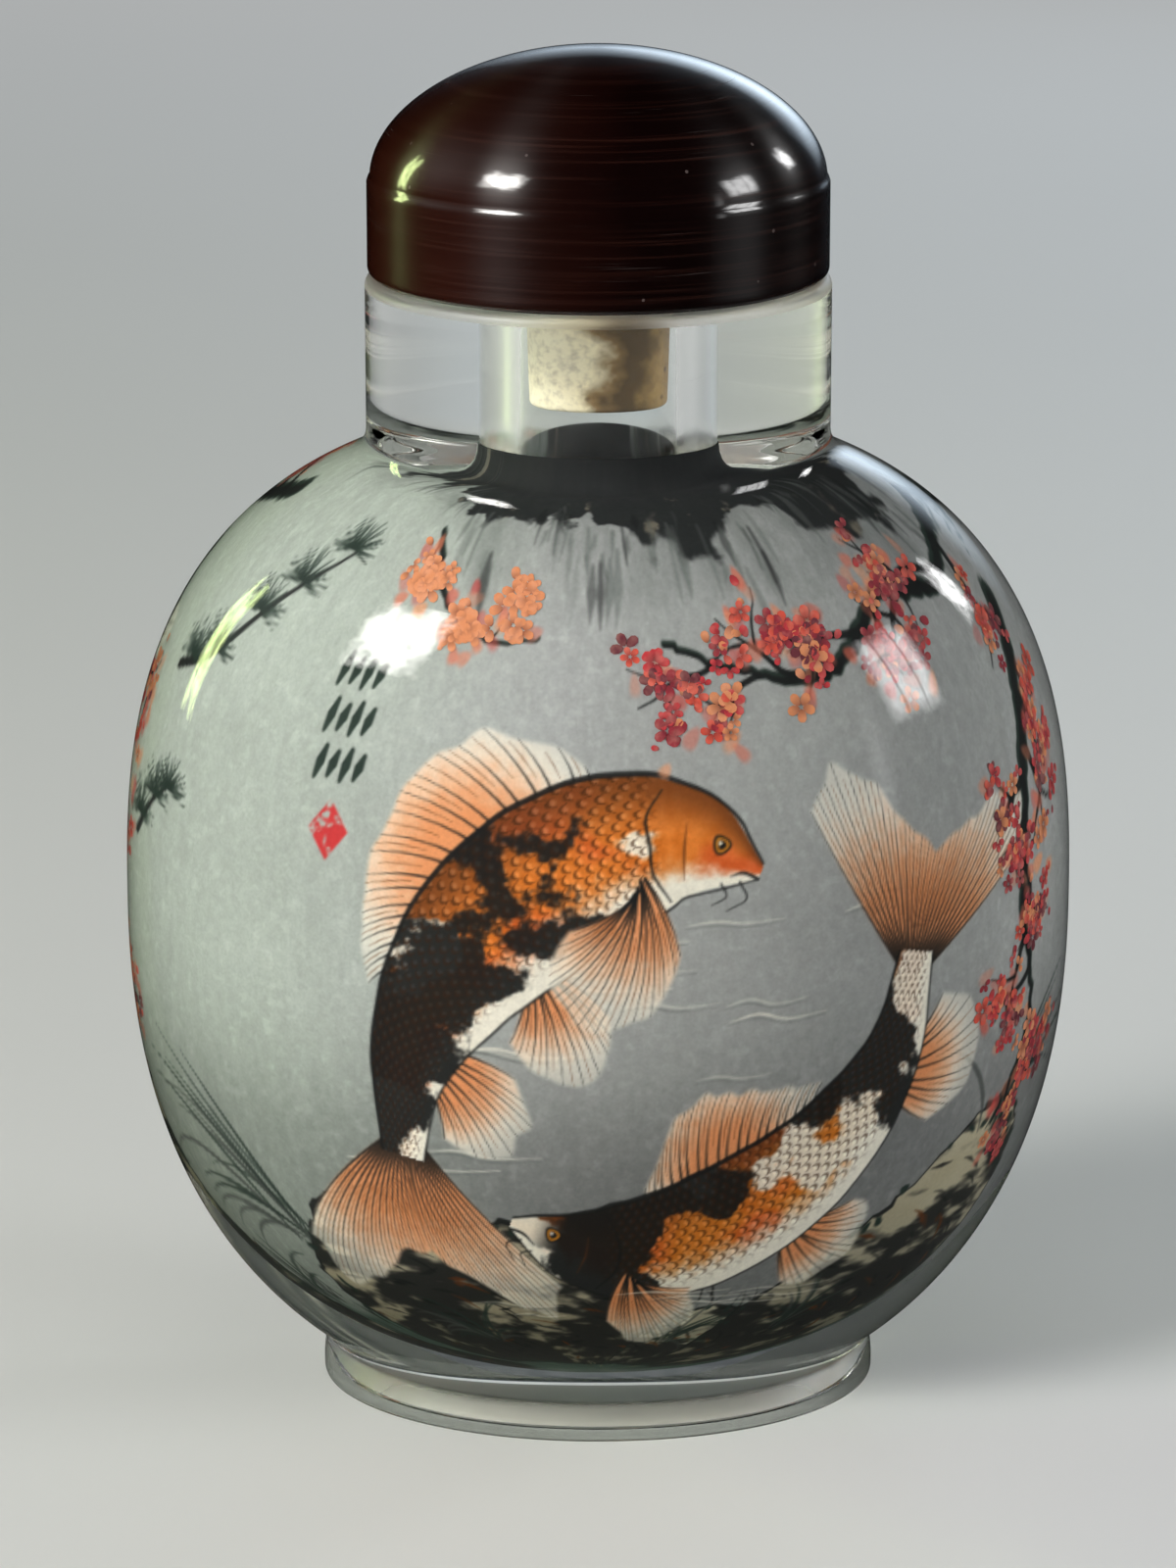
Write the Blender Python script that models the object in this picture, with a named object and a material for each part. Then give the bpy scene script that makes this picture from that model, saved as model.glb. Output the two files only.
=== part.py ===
"""A flattened globular glass snuff bottle with an oval foot, a round neck and a domed stopper.

Metres, +Z up. The origin is under the middle of the foot, on the surface that the bottle stands on.
The broad painted face looks along -Y, and the bottle is widest along X.
"""

import math

import bpy

MM = 0.001

# The glass body: an oval in plan, with its own curve above and below its widest line. Each curve
# has one power at the narrow sides and another at the broad faces.
BODY_WIDTH = 56.0 * MM
BODY_DEPTH = 44.0 * MM
WIDEST_LINE = 30.3 * MM
SHOULDER_RISE = 28.8 * MM
BELLY_DROP = 31.8 * MM
SHOULDER_SIDE_POWER = 2.6
SHOULDER_FACE_POWER = 2.8
BELLY_SIDE_POWER = 2.3
BELLY_FACE_POWER = 2.12

# The foot: an oval ring with a beaded rim, a slight waist above it and a shallow hollow beneath.
FOOT_WIDTH = 33.2 * MM
FOOT_DEPTH = 26.0 * MM
FOOT_RIM_HEIGHT = 1.3 * MM
FOOT_RIM_ROUND = 0.45 * MM
FOOT_WAIST = 0.35 * MM
FOOT_RING_WIDTH = 3.6 * MM
FOOT_HOLLOW = 1.2 * MM

# The neck and its bore, both round.
NECK_DIAMETER = 27.1 * MM
NECK_FILLET = 1.1 * MM
LIP_LINE = 67.4 * MM
LIP_ROUND = 0.6 * MM
BORE_DIAMETER = 9.2 * MM
BORE_LENGTH = 10.6 * MM
BORE_FLARE = 1.2 * MM

# The cavity, by the thickness of the glass around it.
SIDE_WALL = 6.0 * MM
FACE_WALL = 4.6 * MM
FLOOR_WALL = 5.2 * MM
CEILING_POWER = 2.2
CAVITY_BELLY_POWER = 2.5

# The stopper: a domed cap that stands on the lip, and a tapered cork under it in the bore.
CAP_DIAMETER = 26.8 * MM
CAP_SIDE = 5.6 * MM
CAP_DOME_RISE = 7.3 * MM
CAP_DOME_POWER = 1.95
CAP_UNDER_ROUND = 0.6 * MM
CORK_LENGTH = 6.9 * MM
CORK_TAPER = 0.5 * MM
CORK_END_ROUND = 0.35 * MM
REST_GAP = 0.3 * MM

# How finely the curves are faceted.
COLUMNS = 48
BODY_STEPS = 13
CAVITY_STEPS = 9
BEND_STEPS = 2
DOME_STEPS = 8

GLASS_COLOUR = (0.80, 0.86, 0.83)
CAP_COLOUR = (0.045, 0.008, 0.006)
CORK_COLOUR = (0.62, 0.47, 0.28)


def oval_radius(width, depth, angle):
    """Distance from the middle to the edge of an oval, in the direction of a plan angle."""
    half_width = width / 2
    half_depth = depth / 2
    across = math.hypot(half_depth * math.cos(angle), half_width * math.sin(angle))
    return half_width * half_depth / across


def power_at(side_power, face_power, angle):
    """The curve's power in the direction of a plan angle, between the sides' and the faces'."""
    return side_power + (face_power - side_power) * math.sin(angle) ** 2


def level_on_curve(share, power):
    """Height, as a share of the full rise, of a superellipse at a share of its full radius."""
    return max(0.0, 1.0 - share**power) ** (1.0 / power)


def curve_points(radius, centre, rise, power, start_share, end_share, steps):
    """Points of a superellipse between two shares of its radius. A negative rise curves down."""
    turns = [math.acos(min(1.0, share ** (power / 2))) for share in (start_share, end_share)]
    points = []
    for step in range(steps + 1):
        turn = turns[0] + (turns[1] - turns[0]) * step / steps
        share = max(0.0, math.cos(turn)) ** (2 / power)
        level = max(0.0, math.sin(turn)) ** (2 / power)
        points.append((radius * share, centre + rise * level))
    return points


def bend(start, corner, end, steps=BEND_STEPS):
    """A rounded corner: a quadratic curve from start to end that is drawn towards the corner."""
    points = []
    for step in range(steps + 1):
        t = step / steps
        weights = ((1 - t) ** 2, 2 * t * (1 - t), t * t)
        points.append(
            tuple(sum(w * p[i] for w, p in zip(weights, (start, corner, end))) for i in (0, 1))
        )
    return points


def foot_profile(angle):
    """The hollow under the foot, the ring that it stands on, its rim and its waist."""
    rim = oval_radius(FOOT_WIDTH, FOOT_DEPTH, angle)
    ring_inside = rim - FOOT_RING_WIDTH
    hollow_edge = ring_inside - FOOT_HOLLOW
    waist = rim - FOOT_WAIST
    waist_line = FOOT_RIM_HEIGHT + 2 * FOOT_WAIST
    points = [(hollow_edge * share, FOOT_HOLLOW) for share in (0.5, 1.0)]
    points.append((ring_inside, 0.0))
    points += bend((rim - FOOT_RIM_ROUND, 0.0), (rim, 0.0), (rim, FOOT_RIM_ROUND))
    points += bend((rim, FOOT_RIM_HEIGHT), (waist, FOOT_RIM_HEIGHT + FOOT_WAIST), (waist, waist_line), 1)
    return points


def body_profile(angle):
    """The outside of the body, from the foot's waist up to the fillet under the neck."""
    radius = oval_radius(BODY_WIDTH, BODY_DEPTH, angle)
    waist = oval_radius(FOOT_WIDTH, FOOT_DEPTH, angle) - FOOT_WAIST
    neck = NECK_DIAMETER / 2
    belly_power = power_at(BELLY_SIDE_POWER, BELLY_FACE_POWER, angle)
    belly = curve_points(radius, WIDEST_LINE, -BELLY_DROP, belly_power, waist / radius, 1.0, BODY_STEPS)
    shoulder_power = power_at(SHOULDER_SIDE_POWER, SHOULDER_FACE_POWER, angle)
    fillet_share = (neck + NECK_FILLET) / radius
    shoulder = curve_points(
        radius, WIDEST_LINE, SHOULDER_RISE, shoulder_power, 1.0, fillet_share, BODY_STEPS
    )
    corner_level = WIDEST_LINE + SHOULDER_RISE * level_on_curve(neck / radius, shoulder_power)
    fillet = bend(shoulder[-1], (neck, corner_level), (neck, corner_level + NECK_FILLET))
    return belly + shoulder[1:] + fillet[1:]


def neck_profile():
    """The lip's rounded outer edge, its flat top and the top of the bore."""
    neck = NECK_DIAMETER / 2
    bore = BORE_DIAMETER / 2
    outer_edge = bend((neck, LIP_LINE - LIP_ROUND), (neck, LIP_LINE), (neck - LIP_ROUND, LIP_LINE))
    bore_edge = [(bore + LIP_ROUND / 2, LIP_LINE), (bore, LIP_LINE - LIP_ROUND / 2)]
    return outer_edge + bore_edge


def cavity_profile(angle):
    """The bore's lower end, and the cavity's wall from there down to its floor."""
    bore = BORE_DIAMETER / 2
    bore_end = LIP_LINE - BORE_LENGTH
    radius = oval_radius(BODY_WIDTH - 2 * SIDE_WALL, BODY_DEPTH - 2 * FACE_WALL, angle)
    floor = FOOT_HOLLOW + FLOOR_WALL
    ceiling_rise = bore_end - WIDEST_LINE
    ceiling = curve_points(
        radius, WIDEST_LINE, ceiling_rise, CEILING_POWER, (bore + BORE_FLARE) / radius, 1.0, CAVITY_STEPS
    )
    flare = bend((bore, bore_end + BORE_FLARE), (bore, ceiling[0][1]), ceiling[0])
    belly = curve_points(
        radius, WIDEST_LINE, floor - WIDEST_LINE, CAVITY_BELLY_POWER, 1.0, 0.0, CAVITY_STEPS
    )
    return flare + ceiling[1:] + belly[1:-1]


def dome_profile():
    """The cap's rounded lower edge, its upright side and its dome."""
    radius = CAP_DIAMETER / 2
    under = LIP_LINE + REST_GAP
    side_top = under + CAP_SIDE
    lower_edge = bend(
        (radius - CAP_UNDER_ROUND, under), (radius, under), (radius, under + CAP_UNDER_ROUND)
    )
    dome = curve_points(radius, side_top, CAP_DOME_RISE, CAP_DOME_POWER, 1.0, 0.0, DOME_STEPS)
    return lower_edge + dome[:-1]


def cork_profile():
    """The cork's rounded lower end and its tapered side."""
    top_radius = BORE_DIAMETER / 2 - REST_GAP
    low_radius = top_radius - CORK_TAPER / 2
    top = LIP_LINE
    low = top - CORK_LENGTH
    lower_edge = bend(
        (low_radius - CORK_END_ROUND, low), (low_radius, low), (low_radius, low + CORK_END_ROUND)
    )
    return lower_edge + [(top_radius, top)]


def column_angles():
    """Plan angles of the columns, spaced evenly round the body's oval."""
    angles = []
    for column in range(COLUMNS):
        turn = 2 * math.pi * column / COLUMNS
        angles.append(math.atan2(BODY_DEPTH * math.sin(turn), BODY_WIDTH * math.cos(turn)))
    return angles


def turned_solid(name, profile_at, first_pole, last_pole, material):
    """A closed solid whose outline in each upright plane is a profile between two poles on the axis."""
    angles = column_angles()
    profiles = [profile_at(angle) for angle in angles]
    rings = len(profiles[0])
    vertices = [(0.0, 0.0, first_pole)]
    for ring in range(rings):
        for angle, profile in zip(angles, profiles):
            radius, height = profile[ring]
            vertices.append((radius * math.cos(angle), radius * math.sin(angle), height))
    vertices.append((0.0, 0.0, last_pole))
    last = len(vertices) - 1
    faces = []
    for column in range(COLUMNS):
        beside = (column + 1) % COLUMNS
        faces.append((0, 1 + beside, 1 + column))
        for ring in range(rings - 1):
            low = 1 + ring * COLUMNS
            high = low + COLUMNS
            faces.append((low + column, low + beside, high + beside, high + column))
        top = 1 + (rings - 1) * COLUMNS
        faces.append((last, top + column, top + beside))
    mesh = bpy.data.meshes.new(name)
    mesh.from_pydata(vertices, [], faces)
    mesh.shade_smooth()
    mesh.set_sharp_from_angle(angle=math.radians(40))
    mesh.materials.append(material)
    solid = bpy.data.objects.new(name, mesh)
    bpy.context.scene.collection.objects.link(solid)
    return solid


def finish_of(name, colour, roughness, transmission=0.0):
    """A Principled material with a plain colour and roughness."""
    material = bpy.data.materials.new(name)
    material.use_nodes = True
    shader = material.node_tree.nodes["Principled BSDF"]
    shader.inputs["Base Color"].default_value = (*colour, 1.0)
    shader.inputs["Roughness"].default_value = roughness
    shader.inputs["Transmission Weight"].default_value = transmission
    shader.inputs["Metallic"].default_value = 0.0
    return material


def glass_bottle():
    """The glass in one piece: foot, body, neck and the hollow inside."""

    def profile_at(angle):
        return foot_profile(angle) + body_profile(angle) + neck_profile() + cavity_profile(angle)

    glass = finish_of("clear_glass", GLASS_COLOUR, 0.02, 1.0)
    return turned_solid("bottle", profile_at, FOOT_HOLLOW, FOOT_HOLLOW + FLOOR_WALL, glass)


def stopper_cap():
    """The dark domed cap."""
    under = LIP_LINE + REST_GAP
    resin = finish_of("dark_red_resin", CAP_COLOUR, 0.12)
    return turned_solid(
        "stopper_cap", lambda angle: dome_profile(), under, under + CAP_SIDE + CAP_DOME_RISE, resin
    )


def stopper_cork():
    """The tapered cork that holds the cap in the bore."""
    cork = finish_of("cork", CORK_COLOUR, 0.8)
    return turned_solid(
        "stopper_cork", lambda angle: cork_profile(), LIP_LINE - CORK_LENGTH, LIP_LINE, cork
    )


def main():
    """Clears the scene and builds the three pieces where they rest."""
    for old in list(bpy.data.objects):
        bpy.data.objects.remove(old)
    glass_bottle()
    stopper_cap()
    stopper_cork()


main()
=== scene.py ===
"""The looks of a flattened glass snuff bottle that is painted on the inside, with its domed stopper.

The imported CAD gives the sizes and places, in metres with +Z up. The scene adds the glass at full
smoothness, the painted film on the cavity's wall, the polished cap and the cork, on a pale floor.
"""

import logging
import math
from dataclasses import dataclass, field
from enum import Enum

import bpy
import numpy as np
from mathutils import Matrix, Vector


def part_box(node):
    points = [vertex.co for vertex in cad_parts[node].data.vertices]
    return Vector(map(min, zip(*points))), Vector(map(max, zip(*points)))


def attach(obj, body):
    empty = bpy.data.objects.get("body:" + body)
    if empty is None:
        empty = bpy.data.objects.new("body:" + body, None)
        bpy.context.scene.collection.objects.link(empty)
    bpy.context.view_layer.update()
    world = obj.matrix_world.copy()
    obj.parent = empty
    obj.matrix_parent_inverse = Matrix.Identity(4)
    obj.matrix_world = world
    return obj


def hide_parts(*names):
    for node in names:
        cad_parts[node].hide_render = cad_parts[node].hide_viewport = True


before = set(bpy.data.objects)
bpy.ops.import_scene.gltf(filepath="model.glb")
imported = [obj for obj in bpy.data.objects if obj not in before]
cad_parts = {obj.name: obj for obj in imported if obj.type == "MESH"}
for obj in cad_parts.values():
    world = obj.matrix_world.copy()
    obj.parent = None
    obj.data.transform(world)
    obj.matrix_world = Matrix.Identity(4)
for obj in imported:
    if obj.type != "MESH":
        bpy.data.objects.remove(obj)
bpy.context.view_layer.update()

Object, Material, Socket = bpy.types.Object, bpy.types.Material, bpy.types.NodeSocket
Tree, Node, Array = bpy.types.NodeTree, bpy.types.Node, np.ndarray
Value = float | Array
LOG = logging.getLogger("snuff_bottle")
MM = 0.001


class Slot(Enum):
    """The names of the material slots."""

    GLASS = "clear_glass"
    RESIN = "dark_red_resin"
    CORK = "cork"


def curve_points(radius: Array, centre: float, rise: float, power: Value, start: Value, end: Value,
                 steps: int) -> list:
    """Points of a superellipse between two shares of its radius, at every plan angle at once.

    Args:
        radius: The full radius at each plan angle.
        centre: The height of the widest line.
        rise: How far the curve climbs. A negative rise curves down.
        power: The curve's power.
        start: The first point's share of the radius.
        end: The last point's share of the radius.
        steps: How many stretches lie between them.

    Returns:
        A radius and a height, as arrays over the angles, for each point.
    """
    first = np.arccos(np.clip(start ** (power / 2), 0.0, 1.0))
    last = np.arccos(np.clip(end ** (power / 2), 0.0, 1.0))
    points = []
    for step in range(steps + 1):
        turn = first + (last - first) * step / steps
        share = np.clip(np.cos(turn), 0.0, 1.0) ** (2 / power)
        level = np.clip(np.sin(turn), 0.0, 1.0) ** (2 / power)
        points.append((radius * share, centre + rise * level))
    return points


def bend(start: tuple, corner: tuple, end: tuple, steps: int) -> list:
    """A rounded corner from start to end, drawn towards the corner.

    Args:
        start: The first radius and height.
        corner: The radius and height that the curve leans to.
        end: The last radius and height.
        steps: How many stretches lie between them.

    Returns:
        A radius and a height for each point.
    """
    points = []
    for step in range(steps + 1):
        t = step / steps
        weights = ((1 - t) ** 2, 2 * t * (1 - t), t * t)
        points.append(tuple(sum(w * p[i] for w, p in zip(weights, (start, corner, end))) for i in (0, 1)))
    return points


def shown(name: str, data: object) -> Object:
    """An object that is linked into the scene.

    Args:
        name: Its name.
        data: Its mesh, camera or lamp.

    Returns:
        The object.
    """
    made = bpy.data.objects.new(name, data)
    bpy.context.scene.collection.objects.link(made)
    return made


def mesh_object(name: str, points: Array, faces: list) -> Object:
    """A smooth-shaded mesh object at the origin.

    Args:
        name: The piece's name.
        points: Its corners, in metres.
        faces: Lists of corner numbers.

    Returns:
        The object, linked into the scene.
    """
    mesh = bpy.data.meshes.new(name)
    mesh.from_pydata(points.tolist(), [], faces)
    mesh.shade_smooth()
    return shown(name, mesh)


def ring_faces(rings: int, columns: int, closed: bool) -> list:
    """Quads between rings of corners that are numbered ring by ring.

    Args:
        rings: How many rings there are.
        columns: How many corners each ring has.
        closed: Whether the last column joins the first.

    Returns:
        The faces, pointing outwards where the rings climb and the columns run anticlockwise.
    """
    beside = np.arange(columns if closed else columns - 1)
    after = (beside + 1) % columns
    low = np.arange(rings - 1)[:, None] * columns
    quads = np.stack([low + beside, low + after, low + columns + after, low + columns + beside], axis=-1)
    return quads.reshape(-1, 4).tolist()


def turned_solid(name: str, profile: list, angles: Array, poles: tuple) -> Object:
    """A closed solid from one outline at each plan angle.

    Args:
        name: The piece's name.
        profile: A radius and a height, each a number or an array over the angles, for each ring.
        angles: The plan angles.
        poles: The heights of the first and the last point on the axis.

    Returns:
        The object.
    """
    rings = [np.column_stack([radius * np.cos(angles), radius * np.sin(angles), height + 0 * angles])
             for radius, height in profile]
    count = len(angles)
    points = np.vstack([*rings, [(0.0, 0.0, poles[0]), (0.0, 0.0, poles[1])]])
    faces = ring_faces(len(rings), count, True)
    start = (len(rings) - 1) * count
    for column in range(count):
        after = (column + 1) % count
        faces.append((len(points) - 2, after, column))
        faces.append((len(points) - 1, start + column, start + after))
    return mesh_object(name, points, faces)


class Sheet:
    """A small hand for writing one node tree."""

    def __init__(self, tree: Tree) -> None:
        """Keeps the tree to write in."""
        self.tree = tree

    def add(self, kind: str, feeds: dict | None = None, **settings: object) -> Node:
        """Adds a node.

        Args:
            kind: The node's type.
            feeds: A plain value or another node's output for each input, by name or number.
            **settings: The node's own properties.

        Returns:
            The node.
        """
        node = self.tree.nodes.new(kind)
        for name, value in settings.items():
            setattr(node, name, value)
        self.fill(node, feeds or {})
        return node

    def fill(self, node: Node, feeds: dict) -> None:
        """Feeds a node's inputs by name or number."""
        for name, source in feeds.items():
            self.feed(node.inputs[name], source)

    def surface(self, source: Socket) -> None:
        """Makes a shader the material's surface."""
        self.feed(self.tree.nodes["Material Output"].inputs["Surface"], source)

    def feed(self, socket: Socket, source: object) -> None:
        """Gives an input a plain value or another node's output.

        Args:
            socket: The input.
            source: A value or another node's output.
        """
        if isinstance(source, Socket):
            self.tree.links.new(source, socket)
        else:
            socket.default_value = source

    def math(self, operation: str, *sources: object) -> Socket:
        """A Math node's result."""
        return self.add("ShaderNodeMath", dict(enumerate(sources)), operation=operation).outputs[0]

    def times(self, first: object, second: object) -> Socket:
        """The product of two values."""
        return self.math("MULTIPLY", first, second)

    def stretch(self, source: Socket, low: float, high: float, to_low: float = 0.0,
                to_high: float = 1.0) -> Socket:
        """A value moved from one range to another and kept inside it."""
        feeds = {"Value": source, "From Min": low, "From Max": high, "To Min": to_low, "To Max": to_high}
        return self.add("ShaderNodeMapRange", feeds).outputs["Result"]

    def mix(self, share: object, first: object, second: object) -> Socket:
        """A colour between two others."""
        return self.add("ShaderNodeMix", {"Factor": share, 6: first, 7: second}, data_type="RGBA").outputs[2]

    def choose(self, share: Socket, first: Socket, second: Socket) -> Socket:
        """A surface between two others."""
        return self.add("ShaderNodeMixShader", {0: share, 1: first, 2: second}).outputs["Shader"]

    def ramp(self, stops: tuple, source: Socket, steps: str = "LINEAR") -> Socket:
        """A Color Ramp's colour.

        Args:
            stops: Places from 0 to 1, each with a colour.
            source: What the ramp reads.
            steps: Its interpolation.

        Returns:
            The colour.
        """
        node = self.add("ShaderNodeValToRGB", {"Fac": source})
        node.color_ramp.interpolation = steps
        while len(node.color_ramp.elements) < len(stops):
            node.color_ramp.elements.new(0.5)
        for element, (place, colour) in zip(node.color_ramp.elements, stops):
            element.position = place
            element.color = rgba(colour)
        return node.outputs["Color"]

    def bump(self, strength: float, distance: float, height: Socket) -> Socket:
        """A Bump node's normal."""
        feeds = {"Strength": strength, "Distance": distance, "Height": height}
        return self.add("ShaderNodeBump", feeds).outputs["Normal"]

    def cells(self, vector: Socket, scale: object) -> Socket:
        """A Voronoi Texture's distance."""
        return self.add("ShaderNodeTexVoronoi", {"Vector": vector, "Scale": scale}).outputs["Distance"]

    def axes(self, vector: Socket) -> bpy.types.bpy_prop_collection:
        """The X, Y and Z of a vector."""
        return self.add("ShaderNodeSeparateXYZ", {0: vector}).outputs

    def noise(self, vector: Socket, scale: float, detail: float = 3.0, rough: float = 0.5) -> Socket:
        """A Noise Texture's value."""
        feeds = {"Vector": vector, "Scale": scale, "Detail": detail, "Roughness": rough}
        return self.add("ShaderNodeTexNoise", feeds).outputs["Fac"]

    def place(self, scale: tuple = (1.0, 1.0, 1.0)) -> Socket:
        """Object coordinates stretched along the axes."""
        own = self.add("ShaderNodeTexCoord").outputs["Object"]
        return self.add("ShaderNodeMapping", {"Vector": own, "Scale": scale}).outputs["Vector"]


def rgba(colour: tuple) -> tuple:
    """A shader colour with full alpha."""
    return (*colour, 1.0)


def fresh_material(name: str) -> tuple:
    """A new node material.

    Args:
        name: The material's name.

    Returns:
        The material, a sheet for its tree and its Principled shader.
    """
    material = bpy.data.materials.new(name)
    material.use_nodes = True
    return material, Sheet(material.node_tree), material.node_tree.nodes["Principled BSDF"]


def group_node(sheet: Sheet, group: Tree, **values: float) -> Node:
    """Places a node group in a material with its own values.

    Args:
        sheet: The material's sheet.
        group: The node group.
        values: Its inputs by name, with _ for a space.

    Returns:
        The placed node.
    """
    node = sheet.add("ShaderNodeGroup", node_tree=group)
    for name, value in values.items():
        node.inputs[name.replace("_", " ").title()].default_value = value
    return node


def handling_marks() -> Tree:
    """The fine wear of a polished thing that is often handled: uneven rubbing and specks of dust.

    Returns:
        A group that puts out a haze mask and a speck mask.
    """
    group = bpy.data.node_groups.new("handling_marks", "ShaderNodeTree")
    for name, value in (("Speck Scale", 500.0), ("Speck Share", 0.03)):
        socket = group.interface.new_socket(name, in_out="INPUT", socket_type="NodeSocketFloat")
        socket.default_value = value
    for name in ("Haze", "Specks"):
        group.interface.new_socket(name, in_out="OUTPUT", socket_type="NodeSocketFloat")
    sheet = Sheet(group)
    given = sheet.add("NodeGroupInput").outputs
    made = sheet.add("NodeGroupOutput").inputs
    place = sheet.place()
    sheet.feed(made["Haze"], sheet.stretch(sheet.noise(place, 70.0, 2.0), 0.45, 0.75))
    specks = sheet.cells(place, given["Speck Scale"])
    sheet.feed(made["Specks"], sheet.math("LESS_THAN", specks, given["Speck Share"]))
    return group


@dataclass(frozen=True)
class GlassFinish:
    """Clear polished glass, or the same glass ground matt where brush and cork have worked."""

    name: str
    tone: tuple = (0.965, 0.985, 0.972)
    roughness: float = 0.0
    clear_line: float = 0.0
    clear_fade: float = 4.5 * MM
    index: float = 1.5
    ripple: float = 0.08

    def material(self, marks: Tree) -> Material:
        """Builds the see-through material, which lets lamps shine through to the paint.

        Args:
            marks: The group of handling marks.

        Returns:
            The material.
        """
        material, sheet, shader = fresh_material(self.name)
        sheet.fill(shader, {"Base Color": rgba(self.tone), "Transmission Weight": 1.0,
                            "Roughness": self.roughness, "IOR": self.index})
        if self.clear_line:
            height = sheet.axes(sheet.place())["Z"]
            low = self.clear_line - self.clear_fade
            matt = sheet.stretch(height, low, self.clear_line, self.roughness, 0.03)
            smear = sheet.noise(sheet.place((900.0, 900.0, 60.0)), 1.0, 2.0)
            uneven = sheet.stretch(smear, 0.3, 0.7, 0.6, 1.4)
            sheet.fill(shader, {"Roughness": sheet.times(matt, uneven)})
        haze = group_node(sheet, marks).outputs["Haze"]
        sheet.fill(shader, {"Normal": sheet.bump(self.ripple, 0.05 * MM, haze)})
        clear = sheet.add("ShaderNodeBsdfTransparent", {"Color": rgba(self.tone)})
        shadow = sheet.add("ShaderNodeLightPath").outputs["Is Shadow Ray"]
        sheet.surface(sheet.choose(shadow, shader.outputs["BSDF"], clear.outputs["BSDF"]))
        return material


@dataclass(frozen=True)
class ResinFinish:
    """Very dark red-brown resin, turned and polished, with fine rings and rubs from the lathe and painted
    warm light on its left side.
    """

    dark: tuple = (0.0035, 0.0008, 0.0007)
    warm_lit_side: tuple = (0.022, 0.0042, 0.0021)
    streak: tuple = (0.036, 0.011, 0.007)
    rub: tuple = (0.22, 0.17, 0.16)
    turned_matt: float = 0.25
    anisotropy: float = 0.85
    polish: float = 0.075

    def material(self, marks: Tree) -> Material:
        """Builds the glossy material with its turning marks.

        Args:
            marks: The group of handling marks.

        Returns:
            The material.
        """
        material, sheet, shader = fresh_material("polished_resin")
        lines = sheet.noise(sheet.place((40.0, 40.0, 5200.0)), 1.0, 4.0, 0.65)
        rubs = sheet.noise(sheet.place((95.0, 95.0, 11000.0)), 1.0, 2.0, 0.5)
        place = sheet.place()
        worn = sheet.noise(place, 160.0, 3.0)
        # Partly painted light: the resin turns from near black to a warmer red-brown towards its left side,
        # where the key lamp shines.
        depth = sheet.math("MULTIPLY_ADD", sheet.axes(place)["X"], -28.0, sheet.noise(place, 55.0, 2.0))
        wear = group_node(sheet, marks, speck_scale=420.0, speck_share=0.045)
        body = sheet.mix(sheet.stretch(depth, 0.40, 0.85), rgba(self.dark), rgba(self.warm_lit_side))
        rubbed = sheet.times(sheet.stretch(rubs, 0.66, 0.72), sheet.stretch(worn, 0.50, 0.58))
        turned = sheet.mix(sheet.stretch(lines, 0.52, 0.72, 0.0, 0.55), body, rgba(self.streak))
        scraped = sheet.mix(sheet.times(rubbed, 0.15), turned, rgba(self.rub))
        matt = sheet.math("MULTIPLY_ADD", lines, 0.18, self.turned_matt)
        ringed = sheet.bump(0.16, 0.02 * MM, lines)
        around = sheet.add("ShaderNodeTangent", direction_type="RADIAL", axis="Z").outputs["Tangent"]
        sheet.fill(shader, {
            "Base Color": sheet.mix(sheet.times(wear.outputs["Specks"], 0.35), scraped, rgba(self.rub)),
            "Roughness": sheet.math("MULTIPLY_ADD", rubbed, 0.25, matt), "Specular IOR Level": 0.27,
            "Anisotropic": self.anisotropy, "Anisotropic Rotation": 0.25, "Tangent": around,
            "Coat Weight": 0.95, "Coat Roughness": self.polish, "Coat IOR": 1.56,
            "Normal": ringed, "Coat Normal": ringed,
        })
        return material


@dataclass(frozen=True)
class CorkFinish:
    """Raw cork: cream on its left side, partly painted light from the key lamp, and stained brown on the
    other, with dark pits.
    """

    tones: tuple = ((0.0, (1.0, 0.94, 0.74)), (0.40, (0.98, 0.87, 0.62)), (0.49, (0.26, 0.16, 0.062)),
                    (0.55, (0.090, 0.055, 0.020)), (0.63, (0.11, 0.066, 0.024)), (0.74, (0.40, 0.25, 0.085)),
                    (0.86, (0.30, 0.18, 0.060)), (1.0, (0.12, 0.070, 0.022)))
    pit: tuple = (0.12, 0.065, 0.025)

    def material(self) -> Material:
        """Builds the dry, pitted material.

        Returns:
            The material.
        """
        material, sheet, shader = fresh_material("raw_cork")
        place = sheet.place()
        cloud = sheet.noise(place, 330.0, 3.5, 0.55)
        mottled = sheet.math("MULTIPLY_ADD", cloud, 0.52, 0.20)
        # Cream towards the left and brown stains towards the right; the pale left side is partly painted
        # light from the key lamp.
        bark = sheet.ramp(self.tones, sheet.math("MULTIPLY_ADD", sheet.axes(place)["X"], 95.0, mottled))
        fine = sheet.noise(place, 2200.0, 3.0, 0.6)
        grained = sheet.mix(sheet.stretch(fine, 0.45, 0.70, 0.0, 0.35), bark, rgba(self.pit))
        pitted = sheet.stretch(sheet.cells(place, 1300.0), 0.28, 0.12)
        holes = sheet.times(pitted, sheet.stretch(cloud, 0.48, 0.60))
        sheet.fill(shader, {"Base Color": sheet.mix(holes, grained, rgba(self.pit)), "Roughness": 0.9,
                            "Normal": sheet.bump(0.7, 0.12 * MM, fine)})
        return material


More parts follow.
